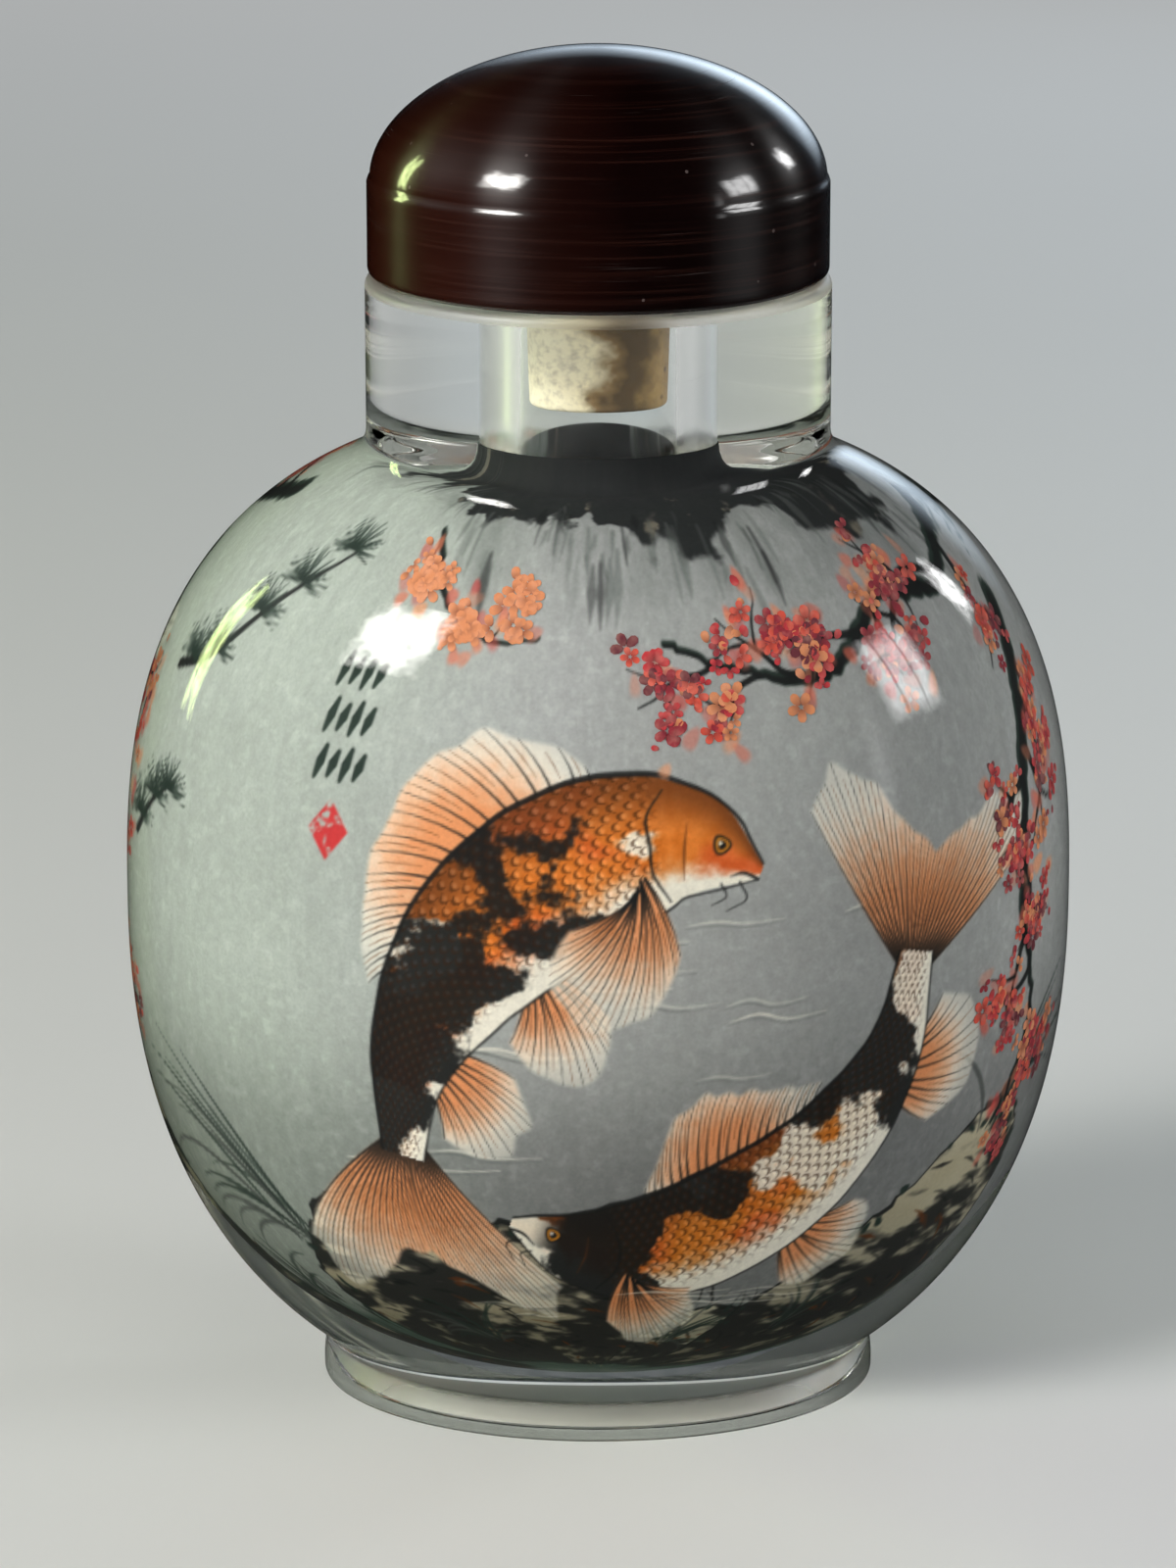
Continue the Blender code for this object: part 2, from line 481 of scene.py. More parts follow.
@dataclass(frozen=True)
class PaintFinish:
    """Ink and gouache on ground glass, in the colours laid on the film."""

    attribute: str = "paint"

    def material(self) -> Material:
        """Builds the matt material that shows the film's own colours.

        Returns:
            The material.
        """
        material, sheet, shader = fresh_material("ink_and_gouache")
        paint = sheet.add("ShaderNodeVertexColor", layer_name=self.attribute).outputs["Color"]
        tooth = sheet.stretch(sheet.noise(sheet.place(), 5200.0, 2.0), 0.25, 0.75, 0.93, 1.06)
        toothed = sheet.add("ShaderNodeVectorMath", {0: paint, "Scale": tooth}, operation="SCALE")
        sheet.fill(shader, {"Base Color": toothed.outputs["Vector"], "Roughness": 0.8,
                            "Specular IOR Level": 0.15})
        return material


@dataclass(frozen=True)
class BottleForm:
    """The bottle's outline. The outer sizes come from the CAD bottle."""

    width: float
    depth: float
    lip_line: float
    widest_line: float = 30.3 * MM
    shoulder_rise: float = 28.8 * MM
    belly_drop: float = 31.8 * MM
    shoulder_powers: tuple = (2.6, 2.8)
    belly_powers: tuple = (2.3, 2.12)
    foot_width: float = 33.2 * MM
    foot_depth: float = 26.0 * MM
    foot_rim_height: float = 1.5 * MM
    foot_rim_round: float = 0.45 * MM
    foot_waist: float = 0.14 * MM
    foot_valley: float = 0.35 * MM
    foot_ring: float = 3.6 * MM
    foot_hollow: float = 1.2 * MM
    neck: float = 27.1 * MM
    neck_fillet: float = 1.1 * MM
    lip_round: float = 0.6 * MM
    bore: float = 9.2 * MM
    bore_length: float = 10.6 * MM
    bore_flare: float = 1.2 * MM
    bore_clear: float = 6.9 * MM
    side_wall: float = 6.0 * MM
    face_wall: float = 4.6 * MM
    floor_wall: float = 5.2 * MM
    ceiling_power: float = 2.2
    cavity_belly_power: float = 2.5
    columns: int = 192

    @property
    def bore_end(self) -> float:
        """The height of the cavity's ceiling."""
        return self.lip_line - self.bore_length

    @property
    def floor(self) -> float:
        """The height of the cavity's floor."""
        return self.foot_hollow + self.floor_wall

    @property
    def angles(self) -> Array:
        """The columns' plan angles, closer together where the oval bends more."""
        turns = np.linspace(0.0, 2 * math.pi, self.columns, endpoint=False)
        return np.arctan2(self.depth * np.sin(turns), self.width * np.cos(turns))

    @property
    def waist(self) -> Array:
        """The radius of the foot's waist at each plan angle."""
        return self.oval(self.foot_width, self.foot_depth) - self.foot_waist

    def oval(self, width: float, depth: float) -> Array:
        """The distance from the middle to an oval's edge at each plan angle."""
        return width * depth / np.hypot(depth * np.cos(self.angles), width * np.sin(self.angles)) / 2

    def power_at(self, powers: tuple) -> Array:
        """The curve's power at each plan angle, from the sides' to the faces'."""
        return powers[0] + (powers[1] - powers[0]) * np.sin(self.angles) ** 2

    def foot(self) -> list:
        """The hollow under the foot, its ring, its rim and its waist.

        Returns:
            Rings of points, one after another, in metres.
        """
        rim = self.oval(self.foot_width, self.foot_depth)
        ring = rim - self.foot_ring
        hollow = ring - self.foot_hollow
        valley = self.valley_line() - 2 * self.foot_valley
        outline = [(hollow * share, self.foot_hollow) for share in (0.25, 0.5, 0.75, 0.96)]
        outline += bend((hollow, self.foot_hollow), (hollow * 1.04, self.foot_hollow * 0.95),
                        (ring, self.foot_hollow * 0.12), 4)
        outline += bend((ring + 0.1 * MM, 0.0), (ring + 0.3 * MM, 0.0), (ring + 0.6 * MM, 0.0), 2)
        outline += bend((rim - self.foot_rim_round, 0.0), (rim, 0.0), (rim, self.foot_rim_round), 6)
        outline += bend((rim, self.foot_rim_round + 0.1 * MM), (rim + 0.03 * MM, self.foot_rim_height),
                        (self.waist, valley), 8)
        return outline

    def valley_line(self) -> Array:
        """The height at which the body's curve comes down to the foot.

        Returns:
            The height at each angle.
        """
        share = self.waist / self.oval(self.width, self.depth)
        power = self.power_at(self.belly_powers)
        return self.widest_line - self.belly_drop * (1 - share**power) ** (1 / power)

    def body(self) -> list:
        """The outside of the body, from the foot's valley to the neck.

        Returns:
            Rings of points, one after another, in metres.
        """
        radius = self.oval(self.width, self.depth)
        waist = self.waist
        corner = self.valley_line()
        neck = self.neck / 2
        power = self.power_at(self.belly_powers)
        belly = curve_points(radius, self.widest_line, -self.belly_drop, power,
                             (waist + 2 * self.foot_valley) / radius, 1.0, 60)
        valley = bend((waist, corner - self.foot_valley), (waist, corner), belly[0], 6)
        belly = valley[:-1] + belly
        power = self.power_at(self.shoulder_powers)
        end = (neck + self.neck_fillet) / radius
        shoulder = curve_points(radius, self.widest_line, self.shoulder_rise, power, 1.0, end, 64)
        corner = self.widest_line + self.shoulder_rise * (1 - (neck / radius) ** power) ** (1 / power)
        fillet = bend(shoulder[-1], (neck, corner), (neck, corner + self.neck_fillet), 8)
        return belly + shoulder[1:] + fillet[1:]

    def neck_and_lip(self) -> list:
        """The neck's side, the rounded lip and the top of the bore.

        Returns:
            Rings of points, one after another, in metres.
        """
        neck = self.neck / 2
        bore = self.bore / 2
        edge = self.lip_round
        top = self.lip_line
        outline = bend((neck, top - edge), (neck, top), (neck - edge, top), 8)
        return outline + bend((bore + edge / 2, top), (bore, top), (bore, top - edge / 2), 4)

    def cavity(self) -> list:
        """The bore's lower end and the cavity's wall down to its floor.

        Returns:
            Rings of points, one after another, in metres.
        """
        bore = self.bore / 2
        radius = self.oval(self.width - 2 * self.side_wall, self.depth - 2 * self.face_wall)
        rise = self.bore_end - self.widest_line
        ceiling = curve_points(radius, self.widest_line, rise, self.ceiling_power,
                               (bore + self.bore_flare) / radius, 1.0, 30)
        flare = bend((bore, self.bore_end + self.bore_flare), (bore, ceiling[0][1]), ceiling[0], 6)
        belly = curve_points(radius, self.widest_line, self.floor - self.widest_line, self.cavity_belly_power,
                             1.0, 0.0, 30)
        return flare + ceiling[1:] + belly[1:-1]


class Bottle:
    """The glass in one piece."""

    hollow_rings: int = 8

    def __init__(self, form: BottleForm) -> None:
        """Keeps the outline."""
        self.form = form

    def build(self, clear: Material, ground: Material, lip: Material) -> Object:
        """Builds the glass and gives bore and lip their ground finish.

        Args:
            clear: The polished glass.
            ground: The matt glass of the bore.
            lip: The matt glass of the lip that the cap stands on.

        Returns:
            The glass.
        """
        form, count = self.form, self.form.columns
        outline = form.foot() + form.body()
        lip_ring = len(outline)
        outline += form.neck_and_lip()
        bore_ring = len(outline)
        outline += form.cavity()
        glass = turned_solid("glass_bottle", outline, form.angles, (form.foot_hollow, form.floor))
        for finish in (clear, ground, lip):
            glass.data.materials.append(finish)
        numbers = np.zeros(len(glass.data.polygons), dtype=np.int32)
        numbers[: self.hollow_rings * count] = 2
        numbers[-2 * count :: 2] = 2
        numbers[lip_ring * count : (bore_ring - 1) * count] = 2
        numbers[(bore_ring - 1) * count : bore_ring * count] = 1
        glass.data.polygons.foreach_set("material_index", numbers)
        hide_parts("bottle")
        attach(glass, "root")
        return glass


class CavityWall:
    """The cavity's wall as a surface: s runs round it and t up it, in metres."""

    def __init__(self, form: BottleForm) -> None:
        """Measures the wall along its widest oval and its front outline.

        Args:
            form: The bottle's form.
        """
        self.form = form
        self.half_width = form.width / 2 - form.side_wall
        self.half_depth = form.depth / 2 - form.face_wall
        self.turns = np.linspace(-math.pi, math.pi, 1441)
        speed = np.hypot(self.half_width * np.cos(self.turns), self.half_depth * np.sin(self.turns))
        steps = (speed[1:] + speed[:-1]) / 2 * np.diff(self.turns)
        run = np.concatenate([[0.0], np.cumsum(steps)])
        self.half_round = run[-1] / 2
        self.run = run - self.half_round
        self.climbs = np.linspace(0.0, math.pi / 2, 721)
        self.upper = self.outline_run(form.bore_end - form.widest_line, form.ceiling_power)
        self.lower = self.outline_run(form.widest_line - form.floor, form.cavity_belly_power)

    def outline_run(self, rise: float, power: float) -> Array:
        """The length of the front outline from the widest line to each climb angle.

        Args:
            rise: How far the wall climbs from the widest line.
            power: The outline's power.

        Returns:
            The length at each climb angle, in metres.
        """
        radii = self.half_depth * np.clip(np.cos(self.climbs), 0, 1) ** (2 / power)
        heights = rise * np.sin(self.climbs) ** (2 / power)
        return np.concatenate([[0.0], np.cumsum(np.hypot(np.diff(radii), np.diff(heights)))])

    def top_run(self, s: Array) -> Array:
        """The t at which the wall meets the flare under the bore.

        Args:
            s: Places round the wall, in metres.

        Returns:
            The t of the flare at each place.
        """
        turn = np.interp(s, self.run, self.turns)
        edge = self.form.bore / 2 + self.form.bore_flare
        oval = np.hypot(self.half_width * np.sin(turn), self.half_depth * np.cos(turn))
        climb = np.arccos((edge / oval) ** (self.form.ceiling_power / 2))
        return np.interp(climb, self.climbs, self.upper)

    def flare_points(self, s: Array, shares: Array, lift: float) -> Array:
        """Places on the flare that joins the wall to the bore.

        Args:
            s: How far round, in metres from the front's middle.
            shares: How far up the flare, from 0 at the wall to 1 at the bore.
            lift: How far out into the glass.

        Returns:
            The places, a row for each share.
        """
        edge, _ = self.points(s, self.top_run(s), lift)
        wide = np.hypot(edge[:, 0], edge[:, 1])
        way = edge[:, :2] / wide[:, None]
        bore = self.form.bore / 2 + lift
        rows = []
        for share in shares:
            weights = ((1 - share) ** 2, 2 * share * (1 - share), share**2)
            radius = weights[0] * wide + (weights[1] + weights[2]) * bore
            top = self.form.bore_end + self.form.bore_flare
            height = (weights[0] + weights[1]) * edge[:, 2] + weights[2] * top
            rows.append(np.column_stack([way * radius[:, None], height]))
        return np.array(rows)

    def points(self, s: Array, t: Array, lift: float) -> tuple:
        """Places on the wall.

        Args:
            s: How far round, in metres from the front's middle to the right.
            t: How far up, in metres from the widest line.
            lift: How far out into the glass.

        Returns:
            The places and the outward directions there.
        """
        turn = np.interp(s, self.run, self.turns)
        form, upper = self.form, t >= 0
        climb = np.where(upper, np.interp(t, self.upper, self.climbs), np.interp(-t, self.lower, self.climbs))
        power = np.where(upper, form.ceiling_power, form.cavity_belly_power)
        rise = np.where(upper, form.bore_end, form.floor) - form.widest_line
        share = np.clip(np.cos(climb), 1e-9, 1.0) ** (2 / power)
        level = np.clip(np.sin(climb), 0.0, 1.0) ** (2 / power)
        wide, deep = self.half_width, self.half_depth
        place = np.stack([wide * share * np.sin(turn), -deep * share * np.cos(turn),
                          form.widest_line + rise * level], axis=-1)
        slope = share ** (power - 2)
        out = np.stack([slope * place[..., 0] / wide**2, slope * place[..., 1] / deep**2,
                        level ** (power - 1) / rise], axis=-1)
        out = out / np.linalg.norm(out, axis=-1, keepdims=True)
        return place + out * lift, out


class Pigment(Enum):
    """The painter's colours, as display values from 0 to 1."""

    INK = (0.085, 0.090, 0.092)
    GREEN_INK = (0.130, 0.175, 0.155)
    GREY_INK = (0.330, 0.350, 0.340)
    FROST = (0.640, 0.645, 0.643)
    # Painted light: this greener frost of the left side stands in for green window light.
    FROST_GREEN_WINDOW_LIGHT = (0.655, 0.686, 0.655)
    WHITE = (0.930, 0.905, 0.850)
    ORANGE = (0.860, 0.440, 0.190)
    AMBER = (0.760, 0.480, 0.130)
    UMBER = (0.340, 0.180, 0.080)
    OCHRE = (0.640, 0.570, 0.430)
    BEIGE = (0.760, 0.700, 0.590)
    CRIMSON = (0.640, 0.110, 0.170)
    SCARLET = (0.820, 0.220, 0.190)
    PEACH = (0.890, 0.580, 0.410)


(INK, GREEN_INK, GREY_INK, FROST, FROST_GREEN_WINDOW_LIGHT, WHITE, ORANGE, AMBER, UMBER, OCHRE, BEIGE, CRIMSON, SCARLET,
 PEACH) = (np.array(pigment.value, dtype=np.float32) for pigment in Pigment)


def blend(first: Value, second: Value, share: Value) -> Value:
    """A number, a place or a colour between two others."""
    return first + (second - first) * share


def ease(low: float, high: float, value: Value) -> Value:
    """A smooth step from 0 at low to 1 at high."""
    share = np.clip((value - low) / (high - low), 0.0, 1.0)
    return share * share * (3.0 - 2.0 * share)


def smooth_path(points: list, step: float) -> Array:
    """A smooth curve through given points, sampled about every step.

    Args:
        points: The given points.
        step: How far apart the samples are.

    Returns:
        The samples, one per row.
    """
    corners = np.array(points, dtype=float)
    if len(corners) == 2:
        count = max(2, int(np.linalg.norm(corners[1] - corners[0]) / step) + 1)
        shares = np.linspace(0.0, 1.0, count)[:, None]
        return corners[0] * (1 - shares) + corners[1] * shares
    padded = np.vstack([2 * corners[0] - corners[1], corners, 2 * corners[-1] - corners[-2]])
    runs = []
    for index in range(len(corners) - 1):
        before, start, end, after = padded[index : index + 4]
        count = max(2, int(np.linalg.norm(end - start) / step) + 1)
        u = np.linspace(0.0, 1.0, count, endpoint=False)[:, None]
        second = 2 * before - 5 * start + 4 * end - after
        third = 3 * start - before - 3 * end + after
        runs.append((2 * start + (end - before) * u + second * u**2 + third * u**3) / 2)
    runs.append(corners[-1:])
    return np.vstack(runs)


def segment_gap(grid_s: Array, grid_t: Array, start: Array, end: Array) -> tuple:
    """How far cells lie from a straight stretch.

    Args:
        grid_s: The cells' s.
        grid_t: The cells' t.
        start: The stretch's first point.
        end: Its last point.

    Returns:
        The distances, and each nearest place as a share of the stretch.
    """
    run = end - start
    ds, dt = grid_s - start[0], grid_t - start[1]
    along = np.clip((ds * run[0] + dt * run[1]) / max(run @ run, 1e-9), 0.0, 1.0)
    return np.hypot(ds - along * run[0], dt - along * run[1]), along


def inside(outline: Array, s: Array, t: Array) -> Array:
    """Which places lie inside a closed outline.

    Args:
        outline: The outline's corners.
        s: The places' s.
        t: Their t.

    Returns:
        True for each place inside.
    """
    within = np.zeros(s.shape, dtype=bool)
    for start, end in zip(outline, np.roll(outline, -1, axis=0)):
        run = end - start
        if abs(run[1]) > 1e-9:
            crosses = (t >= min(start[1], end[1])) & (t < max(start[1], end[1]))
            within ^= crosses & (s < start[0] + (t - start[1]) * run[0] / run[1])
    return within


@dataclass
class Canvas:
    """The cavity's wall rolled out flat, in millimetres: s runs round it to the right and t up it."""

    half_round: float
    low: float = -34.0
    high: float = 31.0
    cell: float = 0.080
    octaves: tuple = (1.0, 0.5, 0.25)

    def __post_init__(self) -> None:
        """Lays out the cells, a whole number of them round the wall."""
        count = 2 * round(self.half_round / self.cell)
        self.cell = 2 * self.half_round / count
        self.s = -self.half_round + self.cell * np.arange(count)
        self.t = np.arange(self.low, self.high, self.cell)
        self.colour = np.empty((len(self.t), len(self.s), 3), dtype=np.float32)

    def window(self, low: tuple, high: tuple) -> tuple:
        """The cells inside a rectangle.

        Args:
            low: The least s and t.
            high: The greatest s and t.

        Returns:
            The slices of rows and columns, and the s and t of each cell.
        """
        rows, columns = (slice(*np.searchsorted(line, (low[axis], high[axis])))
                         for axis, line in ((1, self.t), (0, self.s)))
        return (rows, columns), *np.meshgrid(self.s[columns], self.t[rows])

    def band(self, low: float, high: float) -> tuple:
        """The window between two heights, all the way round."""
        return self.window((-self.half_round - 1, low), (self.half_round + 1, high))

    def noise(self, size: float, seed: int, stretch: float = 1.0) -> Array:
        """Soft random clouds over the whole canvas, from 0 to 1.

        Args:
            size: The clouds' width in millimetres.
            seed: The random seed.
            stretch: How much wider than tall they are.

        Returns:
            One value per cell.
        """
        random = np.random.default_rng(seed)
        total = 0.0
        for octave in self.octaves:
            columns = max(2, round(2 * self.half_round / (size * stretch * octave)))
            rows = int((self.high - self.low) / (size * octave)) + 3
            lattice = random.random((rows, columns)).astype(np.float32)
            at_s = (self.s + self.half_round) / (2 * self.half_round) * columns
            at_t = (self.t - self.low) / (size * octave)
            left, under = at_s.astype(int) % columns, at_t.astype(int)
            across, up = (ease(0.0, 1.0, (at % 1.0).astype(np.float32)) for at in (at_s, at_t))
            lines = blend(lattice[:, left], lattice[:, (left + 1) % columns], across)
            total = total + octave * blend(lines[under], lines[under + 1], up[:, None])
        return total / sum(self.octaves)

    def turn_round(self) -> None:
        """Swaps front and back, so that the other side can be painted about s = 0."""
        self.colour = np.roll(self.colour, len(self.s) // 2, axis=1)

    def lay(self, cells: tuple, colour: Array, cover: Array) -> None:
        """Lays a colour over the cells of a window."""
        under = self.colour[cells]
        under += (colour - under) * cover[..., None].astype(np.float32)

    def stroke(self, path: Array, widths: object, colour: Array, opacity: float = 1.0,
               soft: float = 0.10) -> None:
        """One brush stroke of changing width.

        Args:
            path: Points along the stroke.
            widths: The width at each of a few even stations, from start to end.
            colour: The display colour.
            opacity: How much it covers.
            soft: The width of its soft edge.
        """
        stations = np.linspace(0.0, 1.0, len(path))
        radii = np.interp(stations, np.linspace(0.0, 1.0, len(widths)), widths) / 2
        reach = radii.max() + soft
        cells, grid_s, grid_t = self.window(path.min(0) - reach, path.max(0) + reach)
        cover = np.zeros(grid_s.shape, dtype=np.float32)
        for start, end, first, last in zip(path[:-1], path[1:], radii[:-1], radii[1:]):
            near = max(first, last) + soft
            low, high = np.minimum(start, end) - near, np.maximum(start, end) + near
            part = tuple(slice(*np.searchsorted(line[span], (low[axis], high[axis])))
                         for axis, line, span in ((1, self.t, cells[0]), (0, self.s, cells[1])))
            gap, along = segment_gap(grid_s[part], grid_t[part], start, end)
            edge = np.clip((first + (last - first) * along - gap) / soft + 0.5, 0.0, 1.0)
            np.maximum(cover[part], edge, out=cover[part])
        self.lay(cells, colour, cover * opacity)

    def shape_cover(self, outline: Array, soft: float) -> tuple:
        """How much each cell near a closed outline is inside it.

        Args:
            outline: The outline's corners.
            soft: How wide its edge fades.

        Returns:
            The slices of rows and columns, the s and t of each cell, and the cover from 0 to 1.
        """
        cells, grid_s, grid_t = self.window(outline.min(0) - soft, outline.max(0) + soft)
        gap = np.full(grid_s.shape, 1e9, dtype=np.float32)
        for start, end in zip(outline, np.roll(outline, -1, axis=0)):
            np.minimum(gap, segment_gap(grid_s, grid_t, start, end)[0], out=gap)
        signed = np.where(inside(outline, grid_s, grid_t), gap, -gap)
        return cells, grid_s, grid_t, np.clip(signed / soft + 0.5, 0.0, 1.0)

    def dab(self, centre: Array, length: float, width: float, turn: float, colour: Array,
            opacity: float = 1.0, soft: float = 0.12) -> None:
        """One round or leaf-shaped touch of the brush.

        Args:
            centre: Its middle.
            length: Its length.
            width: Its width.
            turn: How far it is turned, in radians.
            colour: Its pigment.
            opacity: How well it covers.
            soft: How wide its edge fades.
        """
        reach = length / 2 + soft
        cells, grid_s, grid_t = self.window(centre - reach, centre + reach)
        ds, dt = grid_s - centre[0], grid_t - centre[1]
        along = (ds * math.cos(turn) + dt * math.sin(turn)) / (length / 2)
        across = (dt * math.cos(turn) - ds * math.sin(turn)) / (width / 2)
        fill = 1.0 - np.hypot(along, across * (1.0 + 0.35 * along))
        cover = np.clip(fill * min(length, width) / 2 / soft + 0.5, 0.0, 1.0)
        self.lay(cells, colour, cover * opacity)


@dataclass
class Ground:
    """The ground glass under the picture: grey, cloudy and finely grained, with painted green window light on
    the left and painted shade low down.
    """

    def paint(self, canvas: Canvas) -> None:
        """Covers the whole canvas.

        Args:
            canvas: Where it paints.
        """
        clouds = canvas.noise(14.0, 3, 1.6)[..., None]
        grain = canvas.noise(0.35, 4)[..., None]
        sweeps = canvas.noise(2.4, 5, 0.22)[..., None]
        flecks = ease(0.62, 0.78, canvas.noise(0.55, 6))[..., None]
        # Painted light: the ground turns greener towards the left side, in place of green window light
        # falling there.
        turn = -np.sin(math.pi * canvas.s / canvas.half_round)
        side = ease(0.05, 0.90, turn)[None, :, None] * (0.75 + 0.25 * clouds)
        base = blend(FROST, FROST_GREEN_WINDOW_LIGHT, side)
        light = 0.93 + 0.10 * clouds + 0.06 * (sweeps - 0.5) + 0.05 * flecks
        # Painted shade: the ground is darker towards the bottom, a touch darker high up, and a little darker
        # on the right.
        low = ease(-20.0, -33.0, canvas.t) + ease(0.0, -13.0, canvas.t)
        up = -0.01 * ease(4.0, 22.0, canvas.t) - 0.22 * low
        right = ease(-8.0, 4.0, canvas.s) * ease(58.0, 38.0, canvas.s)
        light = light + up[:, None, None] - 0.05 * right[:, None]
        canvas.colour[:] = base * light + (grain - 0.5) * 0.06


@dataclass
class Rock:
    """One rock: an ochre wash, ink along its edge, short cutting strokes and moss dots."""

    outline: tuple
    warmth: float = 0.5
    strokes: int = 90
    seed: int = 1

    def paint(self, canvas: Canvas) -> None:
        """Paints the rock from its washes to its dots.

        Args:
            canvas: Where it paints.
        """
        random = np.random.default_rng(self.seed)
        edge = smooth_path(list(self.outline) + [self.outline[0]], 0.55)[:-1]
        edge = edge + random.normal(0.0, 0.12, edge.shape)
        cells, _, grid_t, cover = canvas.shape_cover(edge, 0.25)
        cloud = canvas.noise(2.2, self.seed + 40, 2.0)[cells]
        fine = canvas.noise(0.7, self.seed + 41, 3.0)[cells]
        top = ease(edge[:, 1].min(), edge[:, 1].max(), grid_t)
        stone = blend(GREY_INK * 1.5, blend(OCHRE, BEIGE, cloud[..., None]), self.warmth)
        dark = ease(0.44, 0.60, cloud * 0.55 + fine * 0.45 + 0.16 * (1 - top))
        canvas.lay(cells, stone * (0.72 + 0.40 * top[..., None]), cover * 0.92)
        canvas.lay(cells, INK, cover * dark * 0.88)
        for _ in range(self.strokes):
            spot = random.uniform(edge.min(0), edge.max(0))
            lean = random.normal(-0.35, 0.35)
            size = random.uniform(0.6, 2.6)
            line = spot + np.array([(0, 0), (0.5 * size, lean * 0.35 * size), (size, lean * size)])
            if inside(edge, *line[[0, 2]].T).all():
                ink = INK if random.random() < 0.75 else UMBER
                canvas.stroke(smooth_path(line, 0.25), (0.05, random.uniform(0.14, 0.42), 0.03), ink,
                              random.uniform(0.55, 0.95))
        closed = np.vstack([edge, edge[:1]])
        for start in range(0, len(closed) - 2, 4):
            canvas.stroke(closed[start : start + 6], (0.05, random.uniform(0.15, 0.55), 0.08), INK, 0.9)
        for _ in range(self.strokes // 2):
            spot = closed[random.integers(len(closed))]
            spot = blend(spot, edge.mean(0), random.uniform(-0.03, 0.10))
            canvas.dab(spot, random.uniform(0.35, 0.85), random.uniform(0.3, 0.6), random.uniform(0, 3),
                       GREEN_INK, 0.95)


@dataclass(frozen=True)
class Fin:
    """A fan of rays between two roots, each a share of the body's length and a place from back to belly.

    The angles run in degrees from the tail's direction towards the belly, for the first and the last ray.
    The lengths are the rays' at even stations, as shares of the body's height, and curl is how many degrees
    each ray bends back.
    """

    first: tuple
    last: tuple
    angles: tuple
    lengths: tuple
    rays: int
    curl: float


